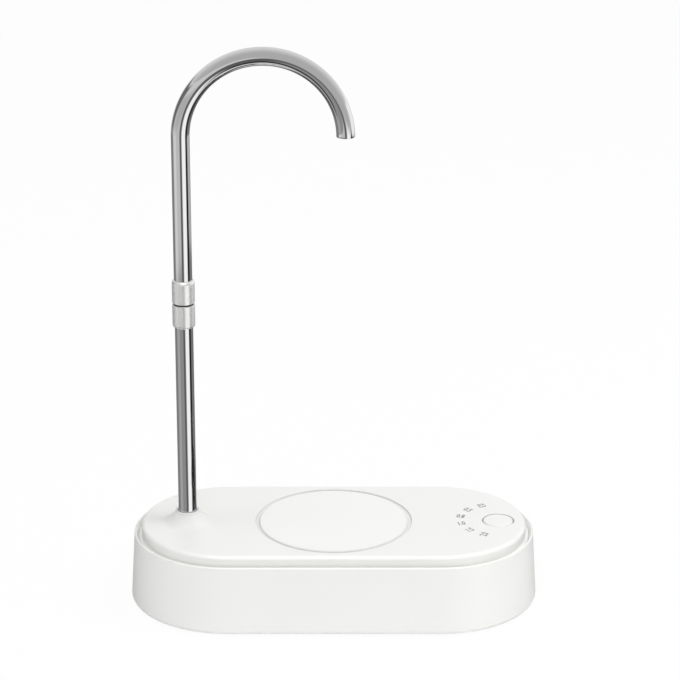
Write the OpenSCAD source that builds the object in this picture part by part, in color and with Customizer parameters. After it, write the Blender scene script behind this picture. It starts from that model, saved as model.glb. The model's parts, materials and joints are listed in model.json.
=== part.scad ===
// Table-top electric water jug pump with a gooseneck spout, all sizes in millimetres
// The origin is on the table under the middle of the base, +X to the button, -Y to the front

/* [Base] */
// Length of the base over its round ends
base_length = 227; // [218:1:250]
// Depth of the base from front to back
base_depth = 110; // [106:1:124]
// Height of the base's rim above the table
rim_height = 40; // [39:0.5:50]
// Height of the gap that the feet leave under the base
foot_gap = 0.8; // [0.4:0.1:1.6]
// How far the outer wall has leaned in at the rim
wall_draft = 2.2; // [0:0.1:3]
// Thickness of the base's wall
shell_wall = 2.2; // [1.6:0.1:2.8]
// Thickness of the base's floor
floor_t = 2.2; // [1.8:0.1:3]
// Radius of the bottom edge
bottom_round = 2.5; // [1:0.1:4]
// Radius of the rim's outer edge
rim_round = 0.8; // [0.3:0.1:1.2]
// Diameter of a rubber foot
foot_d = 14; // [10:0.5:18]
// Depth that a foot is let into the floor
foot_sink = 0.8; // [0.4:0.1:1.2]

/* [Top cover] */
// Height of the cover's top above the rim
cover_rise = 5; // [4:0.1:7]
// Radius of the cover's top edge
cover_round = 2.2; // [1:0.1:3]
// Width of the ledge round the foot of the cover's side
ledge_w = 1.85; // [1.2:0.05:2.4]
// Depth of the ledge below the rim
moat_depth = 2.2; // [1:0.1:2.4]
// Thickness of the cover's wall and plate
cover_wall = 2.2; // [1.8:0.1:2.6]
// Depth of the skirt's underside below the rim
skirt_depth = 3.5; // [3.2:0.1:5]
// Gap between the skirt and the base's wall
lid_gap = 0.15; // [0.1:0.05:0.4]

/* [Cup disc] */
// Diameter of the disc that the cup stands on
disc_d = 83.2; // [70:0.2:86]
// Thickness of the disc
disc_t = 1.6; // [1.2:0.1:2.2]
// Width of the ring groove round the disc
disc_groove = 2; // [0.4:0.1:3]
// Depth of the ring groove
groove_depth = 1; // [0.3:0.1:1.1]
// Thickness of the adhesive under the disc
adhesive_t = 0.2; // [0.1:0.05:0.4]

/* [Spout] */
// Height of the top of the arch above the table
spout_height = 317; // [280:1:350]
// Radius of the arch at the middle of the tube
arch_r = 44; // [36:1:50]
// Distance of the tube's axis from the base's left end
spout_inset = 32; // [30:0.5:34]
// Outer diameter of the tube
tube_d = 10; // [9:0.1:11]
// Wall thickness of the tube
tube_wall = 0.7; // [0.5:0.05:0.9]
// Length of tube inside the socket, below the cover's top
tube_sink = 19; // [16:0.5:20]
// Diameter of the boss where it meets the cover
boss_foot_d = 30; // [26:0.5:34]
// Diameter of the boss at its top
boss_top_d = 13.6; // [13.2:0.1:15]
// Height of the boss above the cover
boss_h = 6.8; // [5:0.1:9]

/* [Collar] */
// Height of the collar's seam above the table
collar_z = 174; // [150:1:190]
// Outer diameter of the collar
collar_d = 12.4; // [12:0.1:14]
// Length of the whole collar
collar_len = 27; // [22:0.5:34]
// Width of the seam between the collar's halves
collar_seam = 0.9; // [0.6:0.1:1.4]
// Height of the sloped shoulder at each end
collar_shoulder = 2; // [1:0.1:3]

/* [Button] */
// Diameter of the button
button_d = 16.6; // [15:0.1:18]
// Gap round the button
button_gap = 0.8; // [0.3:0.05:0.8]
// Height of the button's top above the cover
button_proud = 0.2; // [0.1:0.1:1]
// How far the button travels down
button_travel = 0.8; // [0.5:0.1:1]
// Distance of the button's axis from the base's right end
button_inset = 21.7; // [21:0.1:24]
// Radius of the arc of indicator pins about the button
pin_ring_r = 15.5; // [15:0.1:17]
// Number of indicator pins
pin_count = 6; // [4:1:7]
// Angle between neighbouring pins
pin_step = 26.6; // [20:0.1:27]
// Diameter of an indicator pin
pin_d = 1.5; // [1:0.1:1.8]
// Mean diameter of the button's spring
spring_d = 8; // [7:0.1:9]
// Diameter of the spring's wire
spring_wire = 0.6; // [0.4:0.05:0.8]
// Turns of the spring
spring_turns = 5; // [4:0.5:6]

/* [Pump and motor] */
// Distance of the pump's axis from the back of the base
pump_inset = 29; // [28:0.5:30]
// Height of the pump's axis above the floor
pump_axis_h = 16; // [15.5:0.5:18]
// Distance from the spout's axis to the pump head's face
pump_reach = 54.5; // [52:0.5:58]
// Diameter of the pump's stack of plates
pump_d = 27; // [26.6:0.1:28]
// Thickness of the pump head
head_t = 8; // [7:0.5:9]
// Thickness of the valve plate
valve_t = 4; // [3:0.5:5]
// Thickness of the diaphragm's flange
flange_t = 1.5; // [1:0.1:2]
// Depth of the rocker's room in the pump housing
room_depth = 16.5; // [16:0.1:18]
// Angle between the crank pin and the motor's axis
crank_tilt = 8; // [5:0.5:8]
// Diameter of the motor's can
can_d = 24.4; // [24:0.1:24.6]
// Length of the motor's can
can_len = 31; // [29:0.5:33]
// Diameter of the motor's shaft
shaft_d = 2; // [1.6:0.1:2.4]

/* [Water path] */
// Diameter of the nipple for the jug hose
nipple_d = 8; // [6:0.5:9]
// Free length of the nipple
nipple_len = 12; // [10:0.5:13]
// Diameter of the pocket round the nipple
pocket_d = 19; // [18.5:0.5:20]
// Outer diameter of the inner hoses
hose_d = 7; // [6.6:0.1:7.4]
// Bore of the inner hoses
hose_bore = 5; // [4.6:0.1:5.4]
// Length of a hose barb
barb_len = 7; // [6:0.5:8]

/* [Power] */
// Diameter of the battery cell
cell_d = 18.4; // [18:0.1:20]
// Length of the battery cell
cell_len = 65; // [60:0.5:70]
// Distance of the cell's axis from the front of the base
cell_inset = 28; // [26:0.5:30]
// Thickness of the circuit boards
board_t = 1.6; // [1:0.2:2]
// Length of the control board
control_len = 33; // [31:0.5:34]
// Width of the control board
control_w = 34; // [33:0.5:36]
// Drop from the cover's top to the control board's upper face
board_drop = 15; // [14.6:0.1:16]
// Width of the charge board
charge_w = 18; // [16:0.5:19]
// Length of the charge board
charge_len = 22; // [20:0.5:22]
// Height of the charge board above the floor
charge_lift = 5; // [4:0.5:6]
// Width of the charging socket
usb_w = 8.9; // [8:0.1:9.4]
// Height of the charging socket
usb_h = 3.3; // [3:0.1:3.6]

/* [Fasteners] */
// Distance of the case screws from the base's outline
post_inset = 9.5; // [9:0.1:9.8]
// Diameter of a case screw's shank
case_screw_d = 2.5; // [2:0.1:3]
// Length of a case screw's shank
case_screw_len = 10; // [8:0.5:10]
// Diameter of a small screw's shank
small_screw_d = 2; // [1.6:0.1:2.2]
// Length of a small screw's shank
small_screw_len = 5; // [4:0.1:5]
// Width of a strap
strap_w = 7; // [6:0.5:8]
// Thickness of a strap
strap_t = 1.3; // [1:0.1:1.6]

/* [Hidden] */
$fn = 48;

// Clearances: run_gap for a shaft in its bush, fit_gap for what is pushed together, move_gap for free motion
run_gap = 0.03;
fit_gap = 0.05;
move_gap = 0.3;
eps = 0.5;

// Base outline: two half circles of end_r about x = -straight and x = straight
end_r = base_depth / 2;
straight = base_length / 2 - end_r;
wall_z = foot_gap + bottom_round;
rim_r = end_r - wall_draft;
floor_z = foot_gap + floor_t;
function outer_r(z) = end_r - wall_draft * (z - wall_z) / (rim_height - wall_z);
function inner_r(z) = outer_r(z) - shell_wall;
function stadium_y(r, x) = abs(x) <= straight ? r : sqrt(r * r - pow(abs(x) - straight, 2));

// Cover heights
top_z = rim_height + cover_rise;
plate_z = top_z - cover_wall;
cover_r = rim_r - shell_wall - lid_gap;
upper_r = cover_r - ledge_w;
moat_z = rim_height - moat_depth;
skirt_z = rim_height - skirt_depth;
recess_z = top_z - disc_t - adhesive_t;
pad_t = 2;
pad_rim = 2;

// Screw posts of the base and the bosses of the cover that stand on them
post_r = 3.6;
post_top = skirt_z - eps;
post_grip = 4;
end_post_angle = 46;
post_ring_r = end_r - post_inset;
end_post = [straight + post_ring_r * cos(end_post_angle), post_ring_r * sin(end_post_angle)];
POSTS = concat(
    [for (sx = [-1, 1], sy = [-1, 1]) [sx * end_post.x, sy * end_post.y]],
    [for (sy = [-1, 1]) [0, sy * post_ring_r]]
);
case_head_r = 2.3;
case_head_h = 1.8;
screw_well_r = case_head_r + move_gap;
boss_hole_depth = case_screw_len - post_grip + move_gap;
cover_post_r = upper_r - post_ring_r - fit_gap;
foot_inset = 23;
foot_ring_r = end_r - foot_inset;
foot_angle = 65;
FEET = [for (sx = [-1, 1], sy = [-1, 1])
    [sx * (straight + foot_ring_r * cos(foot_angle)), sy * foot_ring_r * sin(foot_angle)]];

// Small screws
small_r = small_screw_d / 2;
small_head_r = 1.9;
small_head_h = 1.4;
small_hole_r = small_r + fit_gap;

// Spout
tube_r = tube_d / 2;
bore_r = tube_r - tube_wall;
spout_x = spout_inset - base_length / 2;
arch_z = spout_height - arch_r - tube_r;
tube_foot_z = top_z - tube_sink;
boss_bore_r = tube_r + move_gap;
boss_lip = 0.9;
ring_h = 1.4;
ring_wall = 0.8;
ring_r = boss_bore_r + ring_wall;
socket_wall = 3;
socket_r = tube_r + socket_wall;
socket_flange_w = 4.6;
socket_flange_r = socket_r + socket_flange_w;
socket_flange_t = 2.5;
socket_screw_r = socket_r + socket_flange_w / 2;
SOCKET_ANGLES = [60, 180, 300];
socket_floor = 6;
water_r = 3;
oring_r = 0.9;
oring_ring_r = tube_r + run_gap + oring_r;
OR_Z = [tube_foot_z + 4, tube_foot_z + 9];

// Collar
collar_r = collar_d / 2;
half_seam = collar_seam / 2;
core_r = bore_r - run_gap;
core_bore_r = 2.6;
core_reach = 12;
core_oring_r = 0.45;
CORE_OR_Z = [collar_z - 6, collar_z + 6];

// Button
button_x = base_length / 2 - button_inset;
button_r = button_d / 2;
button_top = top_z + button_proud;
button_edge = 0.6;
hole_r = button_r + button_gap;
flange_gap = 0.2;
flange_top = plate_z - flange_gap;
flange_h = 1.2;
flange_over = 0.8;
button_flange_r = hole_r + flange_over;
cap_t = 2;
cap_wall = 1.6;
stem_r = 2.2;
housing_floor_t = 1.2;
housing_wall = 1.3;
housing_room = 0.8;
housing_bore_r = button_flange_r + housing_room;
housing_r = housing_bore_r + housing_wall;
ear_r = 2.6;
ear_t = 2;
ear_drop = 3;
ear_reach = 2.5;
ear_ring_r = housing_r + ear_reach;
board_top = top_z - board_drop;
switch_w = 6;
switch_h = 3;
switch_floor = 0.2;
plunger_r = 1.7;
plunger_show = 1.2;
plunger_top = board_top + switch_h + plunger_show;
plunger_foot = board_top + switch_floor + button_travel + move_gap;
housing_lift = 0.8;
housing_z = plunger_top + housing_lift;
spring_seat = housing_z + housing_floor_t;
spring_top = button_top - cap_t;
pin_r = pin_d / 2;
PIN_ANGLES = [for (i = [0 : pin_count - 1]) 180 + (i - (pin_count - 1) / 2) * pin_step];
led_h = 0.8;
guide_bar_h = 1.4;
guide_bar_w = 2;
guide_end_angle = 3;
led_gap = 0.3;

// Control board, hung from four bosses of the cover
board_reach = 23.8;
board_x0 = button_x - board_reach;
board_boss_r = 3;
board_boss_in = board_boss_r + 0.5;
board_boss_end = 1.5;
BOARD_BOSSES = [for (sy = [-1, 1]) each [
    [board_x0 + board_boss_in, sy * (control_w / 2 - board_boss_in)],
    [board_x0 + control_len - board_boss_end, sy * (control_w / 2 - board_boss_in + 1)]
]];

// Pump and motor stack along X, from the head's face to the end cap
pump_y = end_r - pump_inset;
pump_z = floor_z + pump_axis_h;
pump_r = pump_d / 2;
head_x = spout_x + pump_reach;
valve_x = head_x + head_t;
flange_x = valve_x + valve_t;
room_x = flange_x + flange_t;
back_x = room_x + room_depth;
back_t = 2;
can_x = back_x + back_t;
can_r = can_d / 2;
can_wall = 0.8;
can_end = can_x + can_len;
sleeve_len = 4;
room_wall = 2.5;
room_r = pump_r - room_wall;
cap_end_t = 2.5;
terminal_len = 3;
terminal_w = 6;
cap_spigot = 3;
shaft_r = shaft_d / 2;
bush_r = 3;
bush_len = 4;
magnet_t = 2.2;
magnet_angle = 130;
magnet_in = 5;
magnet_short = 12;
armature_in = 6;
armature_gap = 3.2;
armature_short = 16;
commutator_r = 3;
commutator_len = 4;
shaft_past = 0.5;
nod_depth = 4.5;
nod_x = room_x + nod_depth;
wheel_r = 6;
wheel_back = 5;
wheel_x0 = nod_x + wheel_back;
wheel_x1 = back_x - move_gap;
pin_tip = 0.9;
crank_r = 0.8;
crank_end = 8.5;
shaft_back = 9.5;
shaft_x0 = nod_x + shaft_back;
arm_ring_r = 6.5;
arm_r = 2.6;
arm_hole_r = 1.6;
arm_t0 = -1.2;
arm_t1 = 0.6;
hub_r = 2.6;
hub_end = 4;
hub_step = 1;
cup_r = 3.6;
cup_h = 1.6;
cup_skin = 0.6;
cup_stem_r = 0.7;
cup_stem_past = 1.8;
CUP_ANGLES = [0, 120, 240];
in_offset = 4;
out_offset = 8.5;
in_chamber_r = 5.8;
out_chamber = [6.5, 10.5];
chamber_depth = 4;
valve_ring_r = 8.5;
pump_screw_r = 1;
pump_head_r = pump_screw_r + 0.3;
pump_head_h = 1;
pump_screw_ring = pump_r - pump_head_r;
pump_screw_bite = 8;
PUMP_SCREW_ANGLES = [45, 135, 225, 315];
flap_r = 5.2;
flap_t = 0.5;
flap_hole_ring = 4.2;
valve_cap_r = 1.8;
valve_stem_r = 0.6;
port_r = 0.5;
port_ring = 1.2;

// Water path: inlet elbow behind the pocket, straight inlet hose, curved outlet hose
hose_r = hose_d / 2;
hose_in_r = hose_bore / 2;
barb_r = hose_in_r - fit_gap;
barb_bore_r = 1.5;
in_y = pump_y + in_offset;
out_y = pump_y - out_offset;
inlet_reach = 22;
inlet_x = head_x - inlet_reach;
elbow_r = 4.5;
pocket_r = pocket_d / 2;
pocket_wall = 1.6;
nipple_r = nipple_d / 2;
nipple_wall = 1.5;
nipple_bore_r = nipple_r - nipple_wall;
neck_step = 0.6;
neck_r = nipple_r + neck_step;
pocket_back_t = 2;
mouth_back = 0.4;
pocket_mouth_y = outer_r(pump_z + pocket_r + pocket_wall) - mouth_back;
nipple_inset = 2.5;
nipple_end_y = end_r - nipple_inset;
pocket_y = nipple_end_y - nipple_len;
seat_y = pocket_y - pocket_back_t;
fitting_flange_w = 2.4;
fitting_flange_r = neck_r + fitting_flange_w;
fitting_flange_t = 2;
seat_ring_t = 1.5;
seal_r = 0.7;
seal_in = 0.9;
seal_ring_r = neck_r + seal_in;
elbow_end = in_y - elbow_r;
hose_gap = 0.4;
hose_in_x0 = inlet_x + elbow_r + hose_gap;
hose_in_x1 = head_x - hose_gap;
socket_barb_x = spout_x + socket_r;
hose_out_x0 = socket_barb_x + hose_gap;
hose_out_x1 = head_x - hose_gap;
hose_straight = 1;
bend_x0 = socket_barb_x + barb_len + hose_straight;
bend_x1 = head_x - barb_len - hose_straight;
bend_dx = bend_x1 - bend_x0;
bend_angle = 2 * atan2(out_y, bend_dx);
bend_r = bend_dx / 2 / sin(bend_angle);
clip_w = 3;
clip_t = 0.8;
clip_in = 1;

// Battery, cradled on two ribs
cell_r = cell_d / 2;
cell_y = cell_inset - end_r;
cell_lift = 1.5;
cell_z = floor_z + cell_lift + cell_r;
cell_rib_x = 24;
rib_shoulder = 7.2;
tab_t = 0.4;
tab_w = 4;
motor_rib_in = 15;
motor_rib_x = can_x + motor_rib_in;
housing_rib_in = 6;
housing_rib_x = back_x - housing_rib_in;

// Charge board and its socket at the back wall
motor_end_x = can_end + cap_end_t + terminal_len;
usb_past = 7.5;
usb_x = motor_end_x + usb_past;
charge_z = floor_z + charge_lift;
charge_corner_x = max(abs(usb_x - charge_w / 2), abs(usb_x + charge_w / 2));
board_gap = 0.6;
charge_back_y = stadium_y(inner_r(charge_z + board_t), charge_corner_x) - board_gap;
charge_top = charge_z + board_t;
usb_z = charge_top + usb_h / 2;
usb_sink = 0.4;
usb_y1 = stadium_y(inner_r(usb_z), usb_x) + usb_sink;
usb_len = 7.4;
usb_skin = 0.3;
usb_gap = 0.35;
usb_corner = 1.2;
usb_back = 0.8;
usb_tongue = [usb_w - 2.4, usb_len - 2.2, 0.7];
charge_post_r = 2.6;
charge_post_in = [3, 3.5];
CHARGE_POSTS = [for (s = [-1, 1])
    [usb_x + s * (charge_w / 2 - charge_post_in.x), charge_back_y - charge_len + charge_post_in.y]];

// Plugs and leads between the battery, the boards and the motor
plug_size = [8, 6, 6];
plug_in = 6;
plug_side = 8;
plug_back = 12;
lead_r = 1.3;
board_under = board_top - board_t;
motor_plug = [board_x0 + plug_in, plug_side];
panel_plug = [board_x0 + plug_in, -plug_side];
charge_plug = [usb_x - 3, charge_back_y - plug_back];
cell_plug = [usb_x + 5, charge_back_y - plug_back];

// Points of an arc about (x, z) from angle a0 to a1
function arc(x, z, r, a0, a1, n = 8) = [for (i = [0 : n])
    let (a = a0 + (a1 - a0) * i / n) [x + r * cos(a), z + r * sin(a)]];

// A smooth curve through the points p, with n steps between neighbours
function spline_at(a, b, c, d, t) = 0.5 * (2 * b + (c - a) * t + (2 * a - 5 * b + 4 * c - d) * t * t
    + (3 * b - a - 3 * c + d) * t * t * t);
function spline(p, n) = let (m = len(p) - 1) concat(
    [for (i = [0 : m - 1], j = [0 : n - 1])
        spline_at(p[max(i - 1, 0)], p[i], p[i + 1], p[min(i + 2, m)], j / n)],
    [p[m]]
);
function unit(v) = v / norm(v);
// Two directions across t, steady along a route that never runs along the given hint
function across(t, hint) = let (u = unit(cross(t, hint))) [u, cross(t, u)];

// A round rod along the points p, or a hose if it has a bore, with ends square to dir0 and dir1
module sweep(p, r, dir0, dir1, hint, sides = 8, bore = 0) {
    m = len(p) - 1;
    // The bore's flats, and not its corners, lie at its radius
    radii = bore > 0 ? [r, bore / cos(180 / sides)] : [r];
    inner = (m + 1) * sides;
    rings = [for (radius = radii, i = [0 : m])
        let (
            t = i == 0 ? dir0 : i == m ? dir1 : unit(p[i + 1] - p[i - 1]),
            uv = across(t, hint)
        )
        for (k = [0 : sides - 1])
            let (turn = 360 * k / sides)
                p[i] + radius * (cos(turn) * uv[0] + sin(turn) * uv[1])];
    skin = [for (i = [0 : m - 1], k = [0 : sides - 1])
        let (a = i * sides + k, b = i * sides + (k + 1) % sides)
        each [[a, b, b + sides], [a, b + sides, a + sides]]];
    lining = [for (f = skin) [inner + f[2], inner + f[1], inner + f[0]]];
    discs = [for (k = [1 : sides - 2]) each [
        [0, k + 1, k],
        [m * sides, m * sides + k, m * sides + k + 1]
    ]];
    washers = [for (k = [0 : sides - 1])
        let (n = (k + 1) % sides, a = m * sides + k, b = m * sides + n)
        each [
            [k, inner + k, inner + n], [k, inner + n, n],
            [a, b, inner + b], [a, inner + b, inner + a]
        ]];
    polyhedron(rings, bore > 0 ? concat(skin, lining, washers) : concat(skin, discs));
}

// A body of the base's plan: the profile, as [distance from the end's centre, z], runs round ends and sides
module racetrack(profile) {
    for (side = [-1, 1])
        translate([side * straight, 0, 0])
            rotate(-90 * side)
                rotate_extrude(angle = 180)
                    polygon(profile);
    for (side = [-1, 1])
        translate([-straight, 0, 0])
            rotate([90, 0, 90])
                linear_extrude(2 * straight)
                    polygon([for (p = profile) [side * p.x, p.y]]);
}

// Places children with their Z along the pump's axis, at x
module pump_at(x) {
    translate([x, pump_y, pump_z])
        rotate([0, 90, 0])
            children();
}

// Places children with their Z along the crank pin, from the point that the rocker nods about
module crank_frame() {
    pump_at(nod_x)
        rotate([0, -crank_tilt, 0])
            children();
}

// Places children with their Z along +X, or along +Y
module along_x(p) {
    translate(p)
        rotate([0, 90, 0])
            children();
}

module along_y(p) {
    translate(p)
        rotate([-90, 0, 0])
            children();
}

// A tube of outer radius r and inner radius b, h long
module pipe(r, b, h) {
    difference() {
        cylinder(r = r, h = h);
        translate([0, 0, -eps])
            cylinder(r = b, h = h + 2 * eps);
    }
}

// A ring of round section: section radius r, at the radius ring_at
module oring(r, ring_at) {
    rotate_extrude()
        translate([ring_at, 0])
            circle(r = r);
}

// A pan-head screw that points up from the origin, with its head below
module screw(r, length, head_r, head_h) {
    translate([0, 0, -head_h])
        cylinder(r = head_r, h = head_h);
    cylinder(r = r, h = length);
}

module small_screw() {
    screw(small_r, small_screw_len, small_head_r, small_head_h);
}

// A cradle rib across Y at x, cut to a cylinder of radius r on the axis (y, z), with holes if a strap goes on
module cradle(x, y, z, r, thickness, screwed) {
    half = r + rib_shoulder;
    difference() {
        translate([x - thickness / 2, y - half, floor_z - eps])
            cube([thickness, 2 * half, z - floor_z + eps]);
        along_x([x - thickness, y, z])
            cylinder(r = r + fit_gap, h = 2 * thickness);
        if (screwed)
            for (s = [-1, 1])
                translate([x, y + s * (half - rib_shoulder / 2), z - small_screw_len])
                    cylinder(r = small_hole_r, h = small_screw_len + eps);
    }
}

// A strap over a cylinder of radius r, with an ear at each side
module strap(x, y, z, r) {
    half = r + rib_shoulder;
    difference() {
        union() {
            translate([x - strap_w / 2, y, z])
                rotate([90, 0, 90])
                    rotate_strap(r + fit_gap, strap_t);
            for (s = [-1, 1])
                translate([x - strap_w / 2, s > 0 ? y + r + fit_gap : y - half, z])
                    cube([strap_w, rib_shoulder - fit_gap, strap_t]);
        }
        for (s = [-1, 1])
            translate([x, y + s * (half - rib_shoulder / 2), z - eps])
                cylinder(r = small_hole_r, h = strap_t + 2 * eps);
    }
}

module rotate_strap(r, t) {
    rotate_extrude(angle = 180)
        translate([r, 0])
            square([t, strap_w]);
}

// Where the small screws go, each with its seat, pointing along its shank
module strap_screw_places(x, y, z, r) {
    for (s = [-1, 1])
        translate([x, y + s * (r + rib_shoulder / 2), z + strap_t])
            rotate([180, 0, 0])
                children();
}

module socket_screw_places() {
    for (a = SOCKET_ANGLES)
        translate([spout_x + socket_screw_r * cos(a), socket_screw_r * sin(a), plate_z - socket_flange_t])
            children();
}

module ear_places() {
    for (s = [-1, 1])
        translate([button_x, s * ear_ring_r, plate_z - ear_drop])
            children();
}

// Base
module base_shell() {
    profile = concat(
        [[0, foot_gap]],
        arc(end_r - bottom_round, wall_z, bottom_round, -90, 0),
        arc(rim_r - rim_round, rim_height - rim_round, rim_round, 0, 90),
        [[inner_r(moat_z), moat_z], [inner_r(floor_z), floor_z], [0, floor_z]]
    );
    color("whitesmoke") difference() {
        union() {
            racetrack(profile);
            for (p = POSTS)
                translate([p.x, p.y, floor_z - eps])
                    cylinder(r = post_r, h = post_top - floor_z + eps);
            for (s = [-1, 1])
                cradle(s * cell_rib_x, cell_y, cell_z, cell_r, strap_w, true);
            cradle(motor_rib_x, pump_y, pump_z, can_r, strap_w, true);
            cradle(housing_rib_x, pump_y, pump_z, pump_r, strap_w, false);
            for (p = CHARGE_POSTS)
                translate([p.x, p.y, floor_z - eps])
                    cylinder(r = charge_post_r, h = charge_lift + eps);
            along_y([inlet_x, seat_y, pump_z])
                cylinder(r = pocket_r + pocket_wall, h = pocket_mouth_y - seat_y);
            along_y([inlet_x, seat_y - fitting_flange_t, pump_z])
                cylinder(r = fitting_flange_r + seat_ring_t, h = fitting_flange_t + eps);
        }
        for (p = POSTS) {
            translate([p.x, p.y, 0])
                cylinder(r = screw_well_r, h = post_top - post_grip);
            translate([p.x, p.y, 0])
                cylinder(r = case_screw_d / 2 + fit_gap, h = post_top + eps);
        }
        for (p = FEET)
            translate([p.x, p.y, 0])
                cylinder(r = foot_d / 2 + fit_gap, h = foot_gap + foot_sink);
        for (p = CHARGE_POSTS)
            translate([p.x, p.y, charge_z - small_screw_len])
                cylinder(r = small_hole_r, h = small_screw_len + eps);
        along_y([inlet_x, pocket_y, pump_z])
            cylinder(r = pocket_r, h = end_r);
        along_y([inlet_x, seat_y - eps, pump_z])
            cylinder(r = neck_r + fit_gap, h = pocket_back_t + 2 * eps);
        along_y([inlet_x, seat_y - fitting_flange_t - eps, pump_z])
            cylinder(r = fitting_flange_r + fit_gap, h = fitting_flange_t + eps);
        translate([usb_x, charge_back_y - eps, usb_z])
            rotate([-90, 0, 0])
                linear_extrude(end_r)
                    usb_outline(usb_gap);
    }
}

module rubber_feet() {
    color("dimgray")
        for (p = FEET)
            translate([p.x, p.y, 0])
                cylinder(d = foot_d, h = foot_gap + foot_sink);
}

module case_screws() {
    color("silver")
        for (p = POSTS)
            translate([p.x, p.y, post_top - post_grip])
                screw(case_screw_d / 2, case_screw_len, case_head_r, case_head_h);
}

module small_screws() {
    color("silver") {
        for (s = [-1, 1])
            strap_screw_places(s * cell_rib_x, cell_y, cell_z, cell_r)
                small_screw();
        strap_screw_places(motor_rib_x, pump_y, pump_z, can_r)
            small_screw();
        socket_screw_places()
            small_screw();
        ear_places()
            translate([0, 0, -ear_t])
                small_screw();
        for (p = BOARD_BOSSES)
            translate([p.x, p.y, board_under])
                small_screw();
        for (p = CHARGE_POSTS)
            translate([p.x, p.y, charge_top])
                rotate([180, 0, 0])
                    small_screw();
    }
}

// Top cover
module top_cover() {
    profile = concat(
        [[0, plate_z], [upper_r - cover_wall, plate_z], [upper_r - cover_wall, skirt_z]],
        [[cover_r, skirt_z], [cover_r, moat_z], [upper_r, moat_z]],
        arc(upper_r - cover_round, top_z - cover_round, cover_round, 0, 90),
        [[0, top_z]]
    );
    color("white") difference() {
        union() {
            racetrack(profile);
            translate([spout_x, 0, 0])
                boss();
            translate([0, 0, recess_z - pad_t])
                cylinder(r = disc_d / 2 + disc_groove + pad_rim, h = pad_t + disc_t / 2);
            for (p = POSTS)
                translate([p.x, p.y, post_top]) {
                    cylinder(r = post_r, h = moat_z - post_top);
                    cylinder(r = cover_post_r, h = plate_z - post_top + eps);
                }
            for (p = BOARD_BOSSES)
                translate([p.x, p.y, board_top])
                    cylinder(r = board_boss_r, h = plate_z - board_top + eps);
            ear_places()
                cylinder(r = ear_r, h = ear_drop + eps);
        }
        translate([0, 0, recess_z])
            cylinder(r = disc_d / 2 + disc_groove, h = cover_rise);
        for (p = POSTS)
            translate([p.x, p.y, post_top - eps])
                cylinder(r = case_screw_d / 2 + fit_gap, h = boss_hole_depth + eps);
        for (p = BOARD_BOSSES)
            translate([p.x, p.y, board_top - eps])
                cylinder(r = small_hole_r, h = small_screw_len + eps);
        ear_places()
            translate([0, 0, -eps])
                cylinder(r = small_hole_r, h = small_screw_len - ear_t + fit_gap + eps);
        socket_screw_places()
            cylinder(r = small_hole_r, h = small_screw_len + fit_gap);
        translate([spout_x, 0, plate_z - eps])
            cylinder(r = boss_bore_r, h = cover_wall + boss_h + 2 * eps);
        translate([spout_x, 0, top_z + boss_h - ring_h])
            cylinder(r = ring_r + fit_gap, h = ring_h + eps);
        translate([button_x, 0, plate_z - eps])
            cylinder(r = hole_r, h = cover_wall + 2 * eps);
        for (a = PIN_ANGLES)
            translate([button_x + pin_ring_r * cos(a), pin_ring_r * sin(a), plate_z - eps])
                cylinder(r = pin_r + fit_gap, h = cover_wall + 2 * eps);
    }
}

// The flared boss that the tube stands in, a parabola from the cover up to a narrow lip
module boss() {
    foot = boss_foot_d / 2;
    lip = boss_top_d / 2;
    rise = boss_h - boss_lip;
    steps = 8;
    flare = [for (i = [0 : steps]) let (share = i / steps)
        [foot - (foot - lip) * share, top_z + rise * pow(share, 2)]];
    rotate_extrude()
        polygon(concat(
            [[boss_bore_r - eps, plate_z], [foot, plate_z]],
            flare,
            arc(lip - boss_lip / 2, top_z + boss_h - boss_lip / 2, boss_lip / 2, 0, 90, 4),
            [[boss_bore_r - eps, top_z + boss_h]]
        ));
}

// A round plate with a rabbet, whose step is the floor of the ring groove
module cup_disc() {
    color("white")
        translate([0, 0, top_z - disc_t]) {
            cylinder(d = disc_d, h = disc_t);
            cylinder(r = disc_d / 2 + disc_groove - fit_gap, h = disc_t - groove_depth);
        }
}

module disc_adhesive() {
    color("lightgray")
        translate([0, 0, recess_z])
            cylinder(r = disc_d / 2 - pad_rim, h = adhesive_t);
}

// Spout
module boss_ring() {
    color("gainsboro")
        translate([spout_x, 0, top_z + boss_h - ring_h])
            pipe(ring_r, tube_r + move_gap, ring_h);
}

module spout_socket() {
    foot = pump_z - socket_floor;
    color("ivory") difference() {
        union() {
            translate([spout_x, 0, foot])
                cylinder(r = socket_r, h = plate_z - foot);
            translate([spout_x, 0, plate_z - socket_flange_t])
                cylinder(r = socket_flange_r, h = socket_flange_t);
            along_x([spout_x, 0, pump_z])
                cylinder(r = barb_r, h = socket_r + barb_len);
        }
        translate([spout_x, 0, tube_foot_z - move_gap])
            cylinder(r = tube_r + fit_gap, h = plate_z);
        translate([spout_x, 0, pump_z - water_r])
            cylinder(r = water_r, h = plate_z - pump_z);
        along_x([spout_x, 0, pump_z])
            cylinder(r = barb_bore_r, h = socket_r + barb_len + eps);
        for (z = OR_Z)
            translate([spout_x, 0, z - oring_r - fit_gap])
                cylinder(r = oring_ring_r + oring_r + fit_gap, h = 2 * (oring_r + fit_gap));
        socket_screw_places()
            translate([0, 0, -eps])
                cylinder(r = small_hole_r, h = socket_flange_t + 2 * eps);
    }
}

module socket_orings() {
    color("black")
        for (z = OR_Z)
            translate([spout_x, 0, z])
                oring(oring_r, oring_ring_r);
}

module lower_tube() {
    color("silver")
        translate([spout_x, 0, tube_foot_z])
            pipe(tube_r, bore_r, collar_z - half_seam - tube_foot_z);
}

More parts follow.
